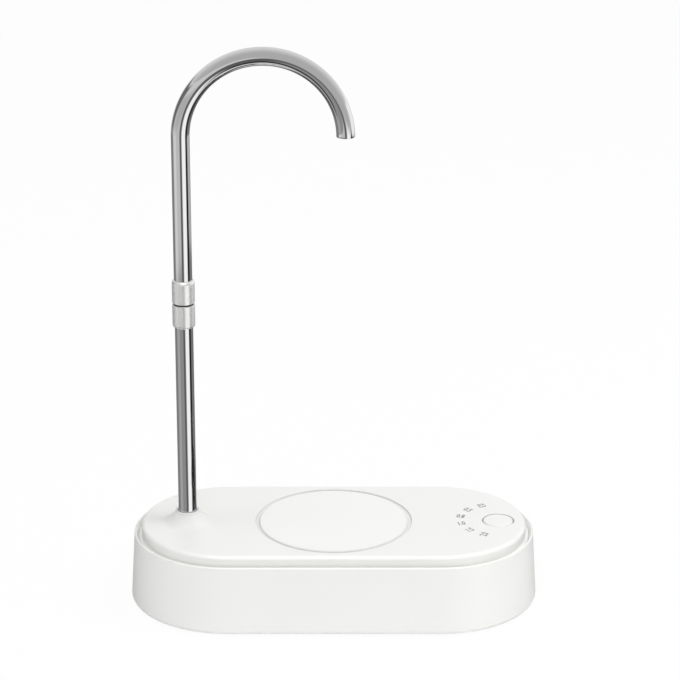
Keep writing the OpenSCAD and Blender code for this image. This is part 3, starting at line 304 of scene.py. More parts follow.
def finish(name, code, rough, metal=0.0, grain_mm=0.8, relief_mm=0.01, shift=0.03, **sockets):
    """A material whose roughness and relief vary a little with a grain of the given size, and whose
    colour varies in larger patches."""
    made = bpy.data.materials.new(name)
    made.use_nodes = True
    tree = made.node_tree
    tree.nodes.clear()
    place = add(tree, "ShaderNodeTexCoord").outputs["Object"]
    grain = add(tree, "ShaderNodeTexNoise", {"Vector": place, "Scale": 1 / (grain_mm * MM), "Detail": 2.0})
    patch = add(tree, "ShaderNodeTexNoise", {"Vector": place, "Scale": 1 / PATCH, "Detail": 1.0})
    base = np.array(linear(code))
    ramp = add(tree, "ShaderNodeValToRGB", {"Fac": patch.outputs["Fac"]})
    ramp.color_ramp.elements[0].color = (*(base[:3] * (1 - shift)), 1)
    ramp.color_ramp.elements[1].color = (*np.minimum(base[:3] * (1 + shift), 1), 1)
    span = add(tree, "ShaderNodeMapRange", {
        "Value": grain.outputs["Fac"],
        "To Min": rough * (1 - ROUGH_SPREAD),
        "To Max": rough * (1 + ROUGH_SPREAD),
    })
    relief = add(tree, "ShaderNodeBump", {"Height": grain.outputs["Fac"], "Distance": relief_mm * MM})
    shader = add(tree, "ShaderNodeBsdfPrincipled", {
        "Base Color": ramp.outputs["Color"], "Roughness": span.outputs["Result"], "Metallic": metal,
        "Normal": relief.outputs["Normal"], **sockets,
    })
    add(tree, "ShaderNodeOutputMaterial", {"Surface": shader.outputs["BSDF"]})
    return made


# %% Finishes of the visible pieces
# White ABS, moulded in a finely eroded tool: an even, bright body colour under a soft gloss.
ABS_IOR = 1.53
white_abs = finish(
    "white_abs_moulded", "f3f3f1", 0.36, grain_mm=0.5, relief_mm=0.004, shift=0.006, IOR=ABS_IOR
)
# The disc is the same plastic from a finer mould: a little brighter and more matt.
disc_abs = finish(
    "disc_abs_satin", "f6f6f5", 0.45, grain_mm=0.6, relief_mm=0.004, shift=0.004, IOR=ABS_IOR
)
# Its stepped edge is rough and more matt, and its colour is painted greyer to stand for the shade that
# falls into the groove round the disc.
step_rough_painted_shade = finish(
    "disc_step_rough_painted_shade", "e8e8e6", 0.6, grain_mm=0.4, relief_mm=0.008, shift=0.006, IOR=ABS_IOR
)
# Stainless tube, drawn and then polished: a mirror whose stripes are the studio around it.
polished_tube = finish("stainless_polished", "f0f0f0", 0.05, 1.0, grain_mm=6, relief_mm=0.0008, shift=0.01)
# Pearl-plated collar, turned and blasted: a pale silver that half scatters and half mirrors the light.
satin_collar = finish("collar_pearl_plate", "f7f7f6", 0.26, 0.62, grain_mm=0.4, relief_mm=0.001, shift=0.01)
# Grey pad-printing ink: thin, flat and a little uneven at its edges.
print_ink = finish("printing_ink_grey", "6c6c6b", 0.6, grain_mm=0.3, relief_mm=0.002, shift=0.05)
visible = [white_abs, disc_abs, step_rough_painted_shade, polished_tube, satin_collar, print_ink]
print("finishes of the visible pieces:", len(visible))

# %% [markdown]
# ## Studio
# The photograph has a white ground with no horizon. The floor and the world are plain white to the
# camera, and the floor still takes the pump's soft shadow. Polished metal shows whatever stands
# round it, so for mirrored rays the world holds a studio: grey walls, a tall white light to the
# right of the camera with a black flag beside it, a few cards, a grey ceiling and a pale ground. A
# stripe on a round tube mirrors one bearing, so each broad stripe in the photograph gives one part of
# the walls its place and a rounded grey. The cards were placed in the same way, from the bend.

# %% World, as a studio for mirrored rays and soft light for the rest
AMBIENT = 0.48
# The studio's parts in order round the pump. Each has the bearings where it begins and ends, in degrees,
# 0 at the camera and growing to its right, then its tone low down and its tone higher up.
STUDIO = {
    "back wall": (-180, -102, "808080", "808080"),
    "far half of the left wall": (-86, -60, "a8a8a8", "d8d8d8"),
    "near half of the left wall": (-50, -12, "909090", "c4c4c4"),
    "camera and its stand": (-3, 12, "5c5c5c", "5c5c5c"),
    "tall white light": (24, 61, "ffffff", "ffffff"),
    "black flag": (70, 92, "202020", "101010"),
    "right wall": (99, 145, "787878", "b4b4b4"),
    "rest of the back wall": (165, 180, "808080", "808080"),
}
LOW, HIGH = 2, 3
# The heights are the upright part of a direction: 0 at the horizon, and -1 straight down.
WALL_CHANGE = (-0.329, -0.321)
WALL_TILT = -0.0064
CEILING_EDGE = (-0.28, -0.14)
GROUND_EDGE = (-0.88, -0.97)
# The ceiling's fade is along the direction's depth, from the camera's side to the back.
CEILING_FADE = (-0.7, 0.9)
CEILING_FRONT = "b2b2b2"
CEILING_BACK = "dedede"
GROUND = "d4d4d4"

world = bpy.data.worlds.new("studio")
bpy.context.scene.world = world
world.use_nodes = True
sky = world.node_tree
sky.nodes.clear()
way = add(sky, "ShaderNodeSeparateXYZ", {"Vector": add(sky, "ShaderNodeTexCoord").outputs["Generated"]})
across, deep, high = way.outputs["X"], way.outputs["Y"], way.outputs["Z"]
toward = add(sky, "ShaderNodeMath", {0: deep, 1: -1.0}, operation="MULTIPLY").outputs[0]
bearing = add(sky, "ShaderNodeMath", {0: across, 1: toward}, operation="ARCTAN2")
round_room = add(sky, "ShaderNodeMapRange", {
    "Value": bearing.outputs[0], "From Min": -math.pi, "From Max": math.pi,
})


def wall_ramp(tone):
    """A colour ramp round the room: each part has one tone from its first bearing to its last, and a
    stop's place is the bearing as a share of the full turn."""
    ramp = add(sky, "ShaderNodeValToRGB", {"Fac": round_room.outputs["Result"]})
    stops = ramp.color_ramp.elements
    edges = [((degrees + 180) / 360, part[tone]) for part in STUDIO.values() for degrees in part[:2]]
    for share, code in edges[1:-1]:
        stops.new(share).color = linear(code)
    stops[0].color, stops[-1].color = linear(edges[0][1]), linear(edges[-1][1])
    return ramp.outputs["Color"]


def by_height(edge, below, above, measure=None):
    """One colour below a height, or below another measure of the direction, and another above it, with
    a smooth step between the edge's two ends."""
    step = add(sky, "ShaderNodeMapRange", {
        "Value": measure or high, "From Min": edge[0], "From Max": edge[1],
    }, interpolation_type="SMOOTHSTEP")
    share = step.outputs["Result"]
    return add(sky, "ShaderNodeMix", {"Factor": share, 6: below, 7: above}, data_type="RGBA").outputs[2]


def askew(part, share):
    """The height of a direction plus a share of another of its parts, for an edge that runs askew."""
    places = {0: part, 1: share, 2: high}
    return add(sky, "ShaderNodeMath", places, operation="MULTIPLY_ADD").outputs[0]


def card(behind, tone, edges):
    """Stands a card of one grey in the room. Each edge is a measure of the direction with the value
    where the card begins and the one where it is whole, and the card's share is their product."""
    share = 1.0
    for measure, begins, whole in edges:
        step = add(sky, "ShaderNodeMapRange", {
            "Value": measure, "From Min": begins, "From Max": whole,
        }, interpolation_type="SMOOTHSTEP")
        product = add(sky, "ShaderNodeMath", {0: share, 1: step.outputs["Result"]}, operation="MULTIPLY")
        share = product.outputs[0]
    colours = {"Factor": share, 6: behind, 7: linear(tone)}
    return add(sky, "ShaderNodeMix", colours, data_type="RGBA").outputs[2]


aside = add(sky, "ShaderNodeMath", {0: across}, operation="ABSOLUTE").outputs[0]
lean = add(sky, "ShaderNodeMath", {0: deep, 1: high}, operation="DIVIDE").outputs[0]
front_left = askew(across, 0.5)
# The cards that the bend mirrors, and the dark gaps before and behind the table. Each has one tone and
# its edges.
CARDS = {
    "pale card at the front left": ("d0d0d0", [
        (front_left, 0.02, -0.03), (front_left, -0.3, -0.16), (across, 0, -0.06), (deep, 0.1, -0.1),
    ]),
    "dark card at the left": ("6a6a6a", [
        (across, -0.55, -0.75), (askew(deep, 1.1), -0.22, 0.13), (high, -0.27, -0.15), (high, 0.42, 0.33),
    ]),
    "white card at the right": ("f6f6f6", [
        (across, 0.45, 0.65), (deep, -0.22, 0), (high, -0.3, -0.22), (high, 0.2, 0.1),
    ]),
    "gap before the table": ("2c2c2c", [
        (lean, 0.36, 0.48), (lean, 0.95, 0.82), (high, -0.45, -0.62), (across, 0.7, 0.2),
    ]),
    "gap behind the table": ("484848", [
        (lean, -0.08, -0.2), (lean, -0.85, -0.65), (high, -0.45, -0.6), (aside, 0.2, 0.35),
    ]),
}
ceiling = by_height(CEILING_FADE, linear(CEILING_FRONT), linear(CEILING_BACK), deep)
walls = by_height(WALL_CHANGE, wall_ramp(LOW), wall_ramp(HIGH), askew(across, WALL_TILT))
room = by_height(GROUND_EDGE, by_height(CEILING_EDGE, walls, ceiling), linear(GROUND))
for tone, edges in CARDS.values():
    room = card(room, tone, edges)
ray = add(sky, "ShaderNodeLightPath")
soft = add(sky, "ShaderNodeBackground", {"Color": linear("ffffff"), "Strength": AMBIENT})
mirrored = add(sky, "ShaderNodeBackground", {"Color": room, "Strength": 1.0})
plain = add(sky, "ShaderNodeBackground", {"Color": linear("ffffff"), "Strength": 1.0})
seen = add(sky, "ShaderNodeMath", {
    0: ray.outputs["Is Camera Ray"], 1: ray.outputs["Is Transmission Ray"],
}, operation="MAXIMUM")
lit = add(sky, "ShaderNodeMixShader", {
    0: ray.outputs["Is Glossy Ray"], 1: soft.outputs[0], 2: mirrored.outputs[0],
})
shown = add(sky, "ShaderNodeMixShader", {0: seen.outputs[0], 1: lit.outputs[0], 2: plain.outputs[0]})
add(sky, "ShaderNodeOutputWorld", {"Surface": shown.outputs[0]})
bpy.context.scene.view_settings.view_transform = "Standard"
print("parts of the studio and cards:", len(STUDIO), len(CARDS))

# %% Floor
FLOOR_SIZE = 6.0
FLOOR_GLOW = 0.95

floor_mesh = bpy.data.meshes.new("floor")
corners = np.array([[-1, -1, 0], [1, -1, 0], [1, 1, 0], [-1, 1, 0]]) * FLOOR_SIZE / 2
floor_mesh.from_pydata(corners.tolist(), [], [[0, 1, 2, 3]])
floor = bpy.data.objects.new("floor", floor_mesh)
bpy.context.scene.collection.objects.link(floor)
floor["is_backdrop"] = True
floor.visible_glossy = False
paper = bpy.data.materials.new("white_paper_floor")
paper.use_nodes = True
sheet = paper.node_tree
sheet.nodes.clear()
path = add(sheet, "ShaderNodeLightPath")
glow_seen = add(sheet, "ShaderNodeMath", {
    0: path.outputs["Is Camera Ray"], 1: path.outputs["Is Transmission Ray"],
}, operation="MAXIMUM")
glow_share = add(sheet, "ShaderNodeMath", {0: glow_seen.outputs[0], 1: FLOOR_GLOW}, operation="MULTIPLY")
matt = add(sheet, "ShaderNodeBsdfDiffuse", {"Color": linear("f4f4f4")})
glow = add(sheet, "ShaderNodeEmission", {"Color": linear("ffffff"), "Strength": 1.0})
both = add(sheet, "ShaderNodeMixShader", {0: glow_share.outputs[0], 1: matt.outputs[0], 2: glow.outputs[0]})
add(sheet, "ShaderNodeOutputMaterial", {"Surface": both.outputs[0]})
floor_mesh.materials.append(paper)
print("floor (m):", FLOOR_SIZE)

# %% [markdown]
# ## Base
# The tub is one moulding with a slightly leaning wall, a rounded foot, and a narrow rounded rim that
# slopes down on its inside. A block with bevels could stand for it, but the wall's lean and the
# roundings are what catch the light, so its whole section is drawn as a profile and carried round the
# plan. The screw wells, the foot recesses, the hose pocket and the charging slot are then cut out.

# %% Base shell
BOTTOM_ROUND = 2.5 * MM
RIM_ROUND = 0.8 * MM
MOAT_DEPTH = 2.2 * MM
MOAT_Z = RIM_Z - MOAT_DEPTH
WALL_Z = FOOT_GAP + BOTTOM_ROUND
CAP_R = 40 * MM
POST_RING = END_R - 9.5 * MM
POST_TOP = SKIRT_Z - 0.5 * MM
POST_R = 3.6 * MM
WELL_R = 2.6 * MM
WELL_TOP = POST_TOP - 4 * MM
END_POST = math.radians(46)
POSTS = [(0, POST_RING), (0, -POST_RING)] + [
    (side * (STRAIGHT + POST_RING * math.cos(END_POST)), back * POST_RING * math.sin(END_POST))
    for side in (-1, 1)
    for back in (-1, 1)
]
FOOT_R = 7 * MM
FOOT_SINK = 0.8 * MM
feet_low, feet_high, _ = extent("rubber_feet")
foot_x, foot_y = feet_high[:2] - FOOT_R
FEET = [(side * foot_x, back * foot_y) for side in (-1, 1) for back in (-1, 1)]

fitting_low, fitting_high, fitting_mid = extent("inlet_fitting")
FLANGE_R = (fitting_high[2] - fitting_low[2]) / 2
INLET = np.array([fitting_low[0] + FLANGE_R, 0, fitting_mid[2]])
NIPPLE_END = fitting_high[1]
NIPPLE_L = 12 * MM
POCKET_Y = NIPPLE_END - NIPPLE_L
SEAT_Y = POCKET_Y - 2 * MM
POCKET_R = 9.5 * MM
POCKET_WALL = 1.6 * MM
POCKET_SKIN = 0.8 * MM
NECK_R = 4.65 * MM
_, _, USB = extent("usb_socket")
RIB_SHOULDER = 7.2 * MM
RIB_W = 7 * MM
PUMP_R = 13.5 * MM
PUMP_RIB_GAP = 8 * MM
BOARD_POST_X = 6 * MM
BOARD_POST_Y = 3.5 * MM
BOARD_POST_R = 2.6 * MM
BOARD_POST_H = 5 * MM
SLOT_HALF = (4.8 * MM, 2.0 * MM)


def stadium(half_width, half_height, steps=16):
    """The outline of a slot: two half circles, each with its centre half_width less half_height from
    the middle."""
    half = np.linspace(-np.pi / 2, np.pi / 2, steps + 1)
    turn = np.concatenate([half, half + np.pi])
    centre = np.repeat([1, -1], steps + 1) * (half_width - half_height)
    return np.column_stack([centre + half_height * np.cos(turn), half_height * np.sin(turn)])


def slot_bar(outlines, depths, centre):
    """Outlines in x and z carried along y: one row of points for each outline at its depth."""
    across = np.stack([outline[:, 0] for outline in outlines]) + centre[0]
    over = np.stack([outline[:, 1] for outline in outlines]) + centre[2]
    along = np.repeat(np.array(depths)[:, None], across.shape[1], axis=1)
    return np.stack([across, along, over], axis=-1)


def cradle(name, x, centre, radius):
    """A rib across the floor with a half-round notch: its outline is a block whose top dips in a half
    circle about the centre, and it is carried along x for the width of a strap."""
    turn = np.linspace(0, -np.pi, 33)
    half = radius + RIB_SHOULDER
    y = np.concatenate([[half, half], (radius + PLAY) * np.cos(turn), [-half, -half]]) + centre[1]
    notch = centre[2] + (radius + PLAY) * np.sin(turn)
    z = np.concatenate([[FLOOR_Z - MM, centre[2]], notch, [centre[2], FLOOR_Z - MM]])
    rows = [np.column_stack([np.full(len(y), x + end), y, z]) for end in (-RIB_W / 2, RIB_W / 2)]
    return solid(name, surface(np.stack(rows)))


shell_profile = np.vstack([
    [[CAP_R, FLOOR_Z]],
    [[END_R - WALL, FLOOR_Z], [RIM_R - WALL, MOAT_Z]],
    arc(RIM_R - RIM_ROUND, RIM_Z - RIM_ROUND, RIM_ROUND, 100, 0),
    arc(END_R - BOTTOM_ROUND, WALL_Z, BOTTOM_ROUND, 0, -90),
    [[CAP_R, FOOT_GAP]],
])
base = solid("base_moulding", surface(racetrack(shell_profile)))
tools = [post(f"screw_post_{i}", x, y, POST_R, FLOOR_Z - MM, POST_TOP) for i, (x, y) in enumerate(POSTS)]
cell_low, cell_high, cell_mid = extent("battery_cell")
can_low, can_high, can_mid = extent("motor_can")
_, strap_high, _ = extent("battery_straps")
_, _, motor_strap_mid = extent("motor_strap")
board_low, _, _ = extent("charge_board")
CELL_R = (cell_high[2] - cell_low[2]) / 2
CAN_R = (can_high[1] - can_low[1]) / 2
tools.append(cradle("motor_cradle", motor_strap_mid[0], can_mid, CAN_R))
tools.append(cradle("pump_cradle", can_low[0] - PUMP_RIB_GAP, can_mid, PUMP_R))
for side in (-1, 1):
    tools.append(cradle(f"cell_cradle_{side}", side * (strap_high[0] - RIB_W / 2), cell_mid, CELL_R))
    x, y = USB[0] + side * BOARD_POST_X, board_low[1] + BOARD_POST_Y
    tools.append(post(f"board_post_{side}", x, y, BOARD_POST_R, FLOOR_Z - MM, FLOOR_Z + BOARD_POST_H))
carve(base, "UNION", tools)
pocket_out = POCKET_R + POCKET_WALL
pocket_body = [[pocket_out, SEAT_Y], [pocket_out, RIM_R - POCKET_SKIN]]
carve(base, "UNION", [solid("pocket_body", surface(revolve(pocket_body, INLET, 96, "y")))])
tools = [post(f"screw_well_{i}", x, y, WELL_R, -MM, WELL_TOP) for i, (x, y) in enumerate(POSTS)]
for i, (x, y) in enumerate(FEET):
    tools.append(post(f"foot_recess_{i}", x, y, FOOT_R + PLAY, -MM, FOOT_GAP + FOOT_SINK))
pocket = [[POCKET_R, POCKET_Y], [POCKET_R, END_R + MM]]
tools.append(solid("pocket", surface(revolve(pocket, INLET, 96, "y"))))
neck = [[NECK_R, SEAT_Y - MM], [NECK_R, POCKET_Y + MM]]
tools.append(solid("neck", surface(revolve(neck, INLET, 64, "y"))))
slot_edge = stadium(*SLOT_HALF)
tools.append(solid("charge_slot", surface(slot_bar([slot_edge, slot_edge], [USB[1], END_R + MM], USB))))
carve(base, "DIFFERENCE", tools)
dress(base, "base", "white_abs", white_abs, "base_shell")

# %% [markdown]
# ## Lid
# The lid drops inside the rim. A ledge runs round its foot, below the rim, so a small moat is left
# between the two, which shows as a grey band. The top edge is rounded and gives the bright line along
# the front. The section is drawn once and carried round the plan. The boss that the spout stands in
# flows out of the top in a hollow curve, so it is a profile turned about the spout's axis.

# %% Top cover
EDGE_R = 2.2 * MM
LEDGE_W = 1.85 * MM
UPPER_R = COVER_R - LEDGE_W
LEDGE_ROUND = 0.2 * MM
COVE_R = 0.4 * MM
RECESS_Z = disc_low[2] - 0.2 * MM
RECESS_ROUND = 0.15 * MM
BUTTON_GAP = 0.8 * MM
HOLE_R = BUTTON_R + BUTTON_GAP
HOLE_ROUND = 0.12 * MM
PIN_RING = 15.5 * MM
PIN_R = 0.75 * MM
LIGHTS = 6
LIGHT_STEP = 26.6
MARK_ANGLES = np.radians(180 + LIGHT_STEP * (np.arange(LIGHTS) - (LIGHTS - 1) / 2))
control_low, _, _ = extent("control_board")
BOARD_BOSSES = [(control_low[0] + 3.5 * MM, 13.5 * MM), (control_low[0] + 31.5 * MM, 14.5 * MM)]
BOARD_BOSS_R = 3 * MM
BOARD_DEPTH = 15 * MM
EAR_Y = 14.5 * MM
EAR_R = 2.6 * MM
EAR_H = 3 * MM
PAD_MARGIN = 2 * MM
SPOUT_HOLE_R = 9 * MM
POST_NECK_R = UPPER_R - POST_RING - PLAY


def flared_hole(name, x, y, radius, low, rounding, sides):
    """A tool for a round hole with a rounded mouth: straight up, then a quarter circle outwards that
    ends just short of flat, and on along its own slope past the top."""
    mouth = arc(radius + rounding, TOP_Z - rounding, rounding, 180, 96, 8)
    past = mouth[-1] + (mouth[-1] - mouth[-2]) * 3
    profile = np.vstack([[[radius, low]], mouth, [past], [[past[0], TOP_Z + MM]]])
    return solid(name, surface(revolve(profile, (x, y, 0), sides)))


cover_profile = np.vstack([
    [[CAP_R, PLATE_Z], [UPPER_R - WALL, PLATE_Z], [UPPER_R - WALL, SKIRT_Z], [COVER_R, SKIRT_Z]],
    arc(COVER_R - LEDGE_ROUND, MOAT_Z - LEDGE_ROUND, LEDGE_ROUND, 0, 90, 4),
    arc(UPPER_R + COVE_R, MOAT_Z + COVE_R, COVE_R, 270, 180, 6),
    arc(UPPER_R - EDGE_R, TOP_Z - EDGE_R, EDGE_R, 0, 90, 16),
    [[CAP_R, TOP_Z]],
])
cover = solid("lid_moulding", surface(racetrack(cover_profile)))
pad_r, pad_z = DISC_R + GROOVE + PAD_MARGIN, RECESS_Z - PAD_MARGIN
tools = [post("disc_pad", 0, 0, pad_r, pad_z, PLATE_Z + MM, 128)]
for i, (x, y) in enumerate(POSTS):
    tools.append(post(f"lid_post_{i}", x, y, POST_R, POST_TOP, MOAT_Z - MM))
    tools.append(post(f"lid_post_neck_{i}", x, y, POST_NECK_R, POST_TOP + MM, PLATE_Z + MM))
for side in (-1, 1):
    for i, (x, y) in enumerate(BOARD_BOSSES):
        boss_name = f"board_boss_{i}_{side}"
        tools.append(post(boss_name, x, side * y, BOARD_BOSS_R, TOP_Z - BOARD_DEPTH, PLATE_Z + MM))
    tools.append(post(f"ear_{side}", BUTTON_X, side * EAR_Y, EAR_R, PLATE_Z - EAR_H, PLATE_Z + MM))
carve(cover, "UNION", tools)
tools = [flared_hole("disc_recess", 0, 0, DISC_R + GROOVE, RECESS_Z, RECESS_ROUND, 192)]
tools.append(flared_hole("button_hole", BUTTON_X, 0, HOLE_R, PLATE_Z - MM, HOLE_ROUND, 96))
tools.append(post("spout_hole", SPOUT_X, 0, SPOUT_HOLE_R, PLATE_Z - MM, TOP_Z + MM, 96))
for i, angle in enumerate(MARK_ANGLES):
    x, y = BUTTON_X + PIN_RING * math.cos(angle), PIN_RING * math.sin(angle)
    tools.append(post(f"pin_hole_{i}", x, y, PIN_R + PLAY, PLATE_Z - MM, TOP_Z + MM, 24))
carve(cover, "DIFFERENCE", tools)
dress(cover, "base", "white_abs", white_abs, "top_cover")

# %% Boss of the spout
BOSS_FOOT = 15 * MM
BOSS_TOP = 6.8 * MM
BOSS_H = 6.8 * MM
BOSS_LIP = 0.9 * MM
BOSS_BORE = TUBE_R + 0.3 * MM
RING_W = 0.85 * MM
RING_DEPTH = 1.4 * MM
SINK = 0.02 * MM

# The flare is a parabola: its height grows with the square of the way in from the foot.
share = np.linspace(0, 1, 28)
flare = np.column_stack([
    BOSS_FOOT - (BOSS_FOOT - BOSS_TOP) * share,
    TOP_Z - SINK + (BOSS_H - BOSS_LIP + SINK) * share**2,
])
boss_profile = np.vstack([
    [[BOSS_BORE, PLATE_Z - 0.01 * MM], [BOSS_FOOT, TOP_Z - MM]],
    flare,
    arc(BOSS_TOP - BOSS_LIP / 2, TOP_Z + BOSS_H - BOSS_LIP / 2, BOSS_LIP / 2, 0, 90, 6),
    [[BOSS_BORE + RING_W, TOP_Z + BOSS_H], [BOSS_BORE + RING_W, TOP_Z + BOSS_H - RING_DEPTH]],
    [[BOSS_BORE, TOP_Z + BOSS_H - RING_DEPTH]],
])
boss = solid("spout_boss", surface(revolve(boss_profile, (SPOUT_X, 0, 0), 128), ring=True))
dress(boss, "base", "white_abs", white_abs, "top_cover")

# %% [markdown]
# ## Cup disc
# The disc is let into the lid, level with it. A step in its edge is the floor of the groove that
# shows as a grey ring. The step and the rounding above it are rougher and more matt than the plate, and
# their colour is painted greyer to stand for the shade in the groove, so they are a ring of their own.

# %% Cup disc
DISC_ROUND = 0.8 * MM
GROOVE_DEPTH = 1.0 * MM
GROOVE_Z = TOP_Z - GROOVE_DEPTH
STEP_R = DISC_R + GROOVE - PLAY
PLATE_EDGE = DISC_R - DISC_ROUND
disc_plate = [[0, disc_low[2]], [PLATE_EDGE, disc_low[2]], [PLATE_EDGE, TOP_Z], [0, TOP_Z]]
disc = solid("cup_disc_plate", surface(revolve(disc_plate, (0, 0, 0), 192)))
dress(disc, "base", "disc_white", disc_abs, "cup_disc")
# The step ring takes the greyer finish: painted shade of the groove round the disc.
step_profile = np.vstack([
    [[PLATE_EDGE, disc_low[2]], [STEP_R, disc_low[2]], [STEP_R, GROOVE_Z], [DISC_R, GROOVE_Z]],
    arc(PLATE_EDGE, TOP_Z - DISC_ROUND, DISC_ROUND, 0, 90, 8),
])
disc_step = solid("cup_disc_step", surface(revolve(step_profile, (0, 0, 0), 192), ring=True))
dress(disc_step, "base", "disc_white", step_rough_painted_shade, "cup_disc")

# %% [markdown]
# ## Button
# The button is a cap in a round hole, almost level with the lid, with a soft edge and a flange below
# that stops it from coming out. Only its top shows, so the turned profile gives that most points.

# %% Button cap
BUTTON_ROUND = 1.0 * MM
FLANGE_W = 0.8 * MM
FLANGE_H = 1.2 * MM
CAP_WALL = 1.6 * MM
CAP_T = 2 * MM
CAP_FLAT = 1.2 * MM
CAP_FLANGE_R = HOLE_R + FLANGE_W
FLANGE_TOP = PLATE_Z - 0.2 * MM
FLANGE_FOOT = FLANGE_TOP - FLANGE_H
CAVITY_TOP = BUTTON_TOP - CAP_T
STEM_R = 2.2 * MM
button_profile = np.vstack([
    [[0, button_low[2]], [STEM_R, button_low[2]], [STEM_R, CAVITY_TOP]],
    [[BUTTON_R - CAP_WALL, CAVITY_TOP], [BUTTON_R - CAP_WALL, FLANGE_FOOT]],
    [[CAP_FLANGE_R, FLANGE_FOOT], [CAP_FLANGE_R, FLANGE_TOP], [BUTTON_R, FLANGE_TOP]],
    arc(BUTTON_R - BUTTON_ROUND, BUTTON_TOP - BUTTON_ROUND, BUTTON_ROUND, 0, 90, 10),
    [[BUTTON_R - CAP_FLAT, BUTTON_TOP], [0, BUTTON_TOP]],
])
button = solid("push_button", surface(revolve(button_profile, (BUTTON_X, 0, 0), 128)))
dress(button, "button", "white_abs", white_abs, "button_cap")

# %% [markdown]
# ## Spring of the button
# A coil of thin wire under the cap pushes it up again. It is a circle carried along a helix. Its foot
# stays on the housing while the cap comes down on it, so it rides on the base.

# %% Coil spring
WIRE_R = 0.3 * MM
COILS = 5
spring_low, spring_high, _ = extent("button_spring")
spring_length = spring_high[2] - spring_low[2]


def coil(steps=240, sides=12):
    """Rings along a helix. The middle of the wire is the coil's radius times cosine and sine of the
    turn, at a height that grows evenly. Each ring is the wire's radius times cosine outwards and sine
    along the direction that is square to both the outward one and the wire."""
    radius = (spring_high[0] - spring_low[0]) / 2 - WIRE_R
    climb = (spring_length - 2 * WIRE_R) / (2 * np.pi * COILS)
    turn = np.linspace(0, 2 * np.pi * COILS, steps)
    outward = np.column_stack([np.cos(turn), np.sin(turn), np.zeros(steps)])
    foot = np.array([BUTTON_X, 0, spring_low[2] + WIRE_R])
    middle = foot + radius * outward + np.outer(climb * turn, [0, 0, 1])
    along = np.column_stack([-radius * np.sin(turn), radius * np.cos(turn), np.full(steps, climb)])
    across_wire = np.cross(outward, along / np.linalg.norm(along, axis=1, keepdims=True))
    ring = np.linspace(0, 2 * np.pi, sides, endpoint=False)[None, :, None]
    section = outward[:, None] * np.cos(ring) + across_wire[:, None] * np.sin(ring)
    return middle[:, None] + WIRE_R * section


# Spring steel, drawn and nickel-plated: bright, with fine marks along the wire.
spring_wire = finish("spring_steel_plated", "c4c3c1", 0.28, metal=1.0, grain_mm=0.3, relief_mm=0.003)
spring = solid("button_coil", surface(coil()))
dress(spring, "base", "screw_steel", spring_wire, "button_spring")
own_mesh(spring)
print("spring (mm):", round(spring_length / MM, 2))

# %% [markdown]
# ## Spout
# The spout is a drawn tube, straight and then bent in one even half circle. A curve with a bevel
# would do, but a mirror shows every flat, so the tube is worked out as rings that follow the path:
# each ring is a circle in the plane across it. The wall is real, with a rounded edge at the mouth.

# %% Lower and upper tubes
MOUTH_ROUND = 0.2 * MM
STRAIGHT_RINGS = 24
BEND_RINGS = 160
RISE = ARCH_Z - upper_low[2]
TOTAL = RISE + np.pi * ARCH_R


def spout_path(length):
    """The middle of the tube at each length from its foot, and the outward direction of the bend.
    Straight up at first, then round the half circle: angle is the length past the straight part
    divided by the bend's radius, and the middle is its cosine and sine times that radius."""
    angle = np.maximum(length - RISE, 0) / ARCH_R
    x = SPOUT_X + ARCH_R - ARCH_R * np.cos(angle)
    z = upper_low[2] + np.minimum(length, RISE) + ARCH_R * np.sin(angle)
    middle = np.column_stack([x, np.zeros_like(x), z])
    outward = np.column_stack([-np.cos(angle), np.zeros_like(x), np.sin(angle)])
    return middle, outward


def tube(lengths, radii, sides=96):
    """Rings across the spout's path: middle plus radius times cosine outwards and sine along y."""
    middle, outward = spout_path(lengths)
    turn = np.linspace(0, 2 * np.pi, sides, endpoint=False)[None, :, None]
    ring = outward[:, None, :] * np.cos(turn) + np.array([0, 1, 0]) * np.sin(turn)
    return middle[:, None, :] + radii[:, None, None] * ring


bend = np.linspace(RISE, TOTAL - MOUTH_ROUND, BEND_RINGS)
run = np.concatenate([np.linspace(0, RISE, STRAIGHT_RINGS), bend[1:]])
lip = arc(0, 0, MOUTH_ROUND, 90, 0, 5)
lengths = np.concatenate([run, TOTAL - MOUTH_ROUND + lip[:, 0], run[::-1]])
outside = np.full(len(run), TUBE_R)
inside = np.full(len(run), BORE_R)
radii = np.concatenate([outside, TUBE_R - MOUTH_ROUND + lip[:, 1], inside])
upper = solid("spout_upper_tube", surface(tube(lengths, radii), ring=True))
dress(upper, "spout", "polished_steel", polished_tube, "upper_tube")

lower_rows = np.linspace(lower_low[2], lower_high[2], STRAIGHT_RINGS)
lower_profile = np.vstack([
    np.column_stack([np.full(STRAIGHT_RINGS, TUBE_R), lower_rows]),
    np.column_stack([np.full(STRAIGHT_RINGS, BORE_R), lower_rows[::-1]]),
])
lower = solid("spout_lower_tube", surface(revolve(lower_profile, (SPOUT_X, 0, 0), 96), ring=True))
dress(lower, "spout", "polished_steel", polished_tube, "lower_tube")

# %% [markdown]
# ## Collar
# Two satin sleeves meet at the seam where the spout comes apart. Each is turned, with a sloped and
# rounded shoulder that catches the light, and a fine bevel beside the dark seam.

# %% Collar halves
COLLAR_R = (collar_high[0] - collar_low[0]) / 2
SEAM_BEVEL = 0.35 * MM
BEVEL_IN = 0.1 * MM
BEVEL_UP = 0.12 * MM
SHOULDER = 2 * MM
SHOULDER_LIP = 0.3 * MM


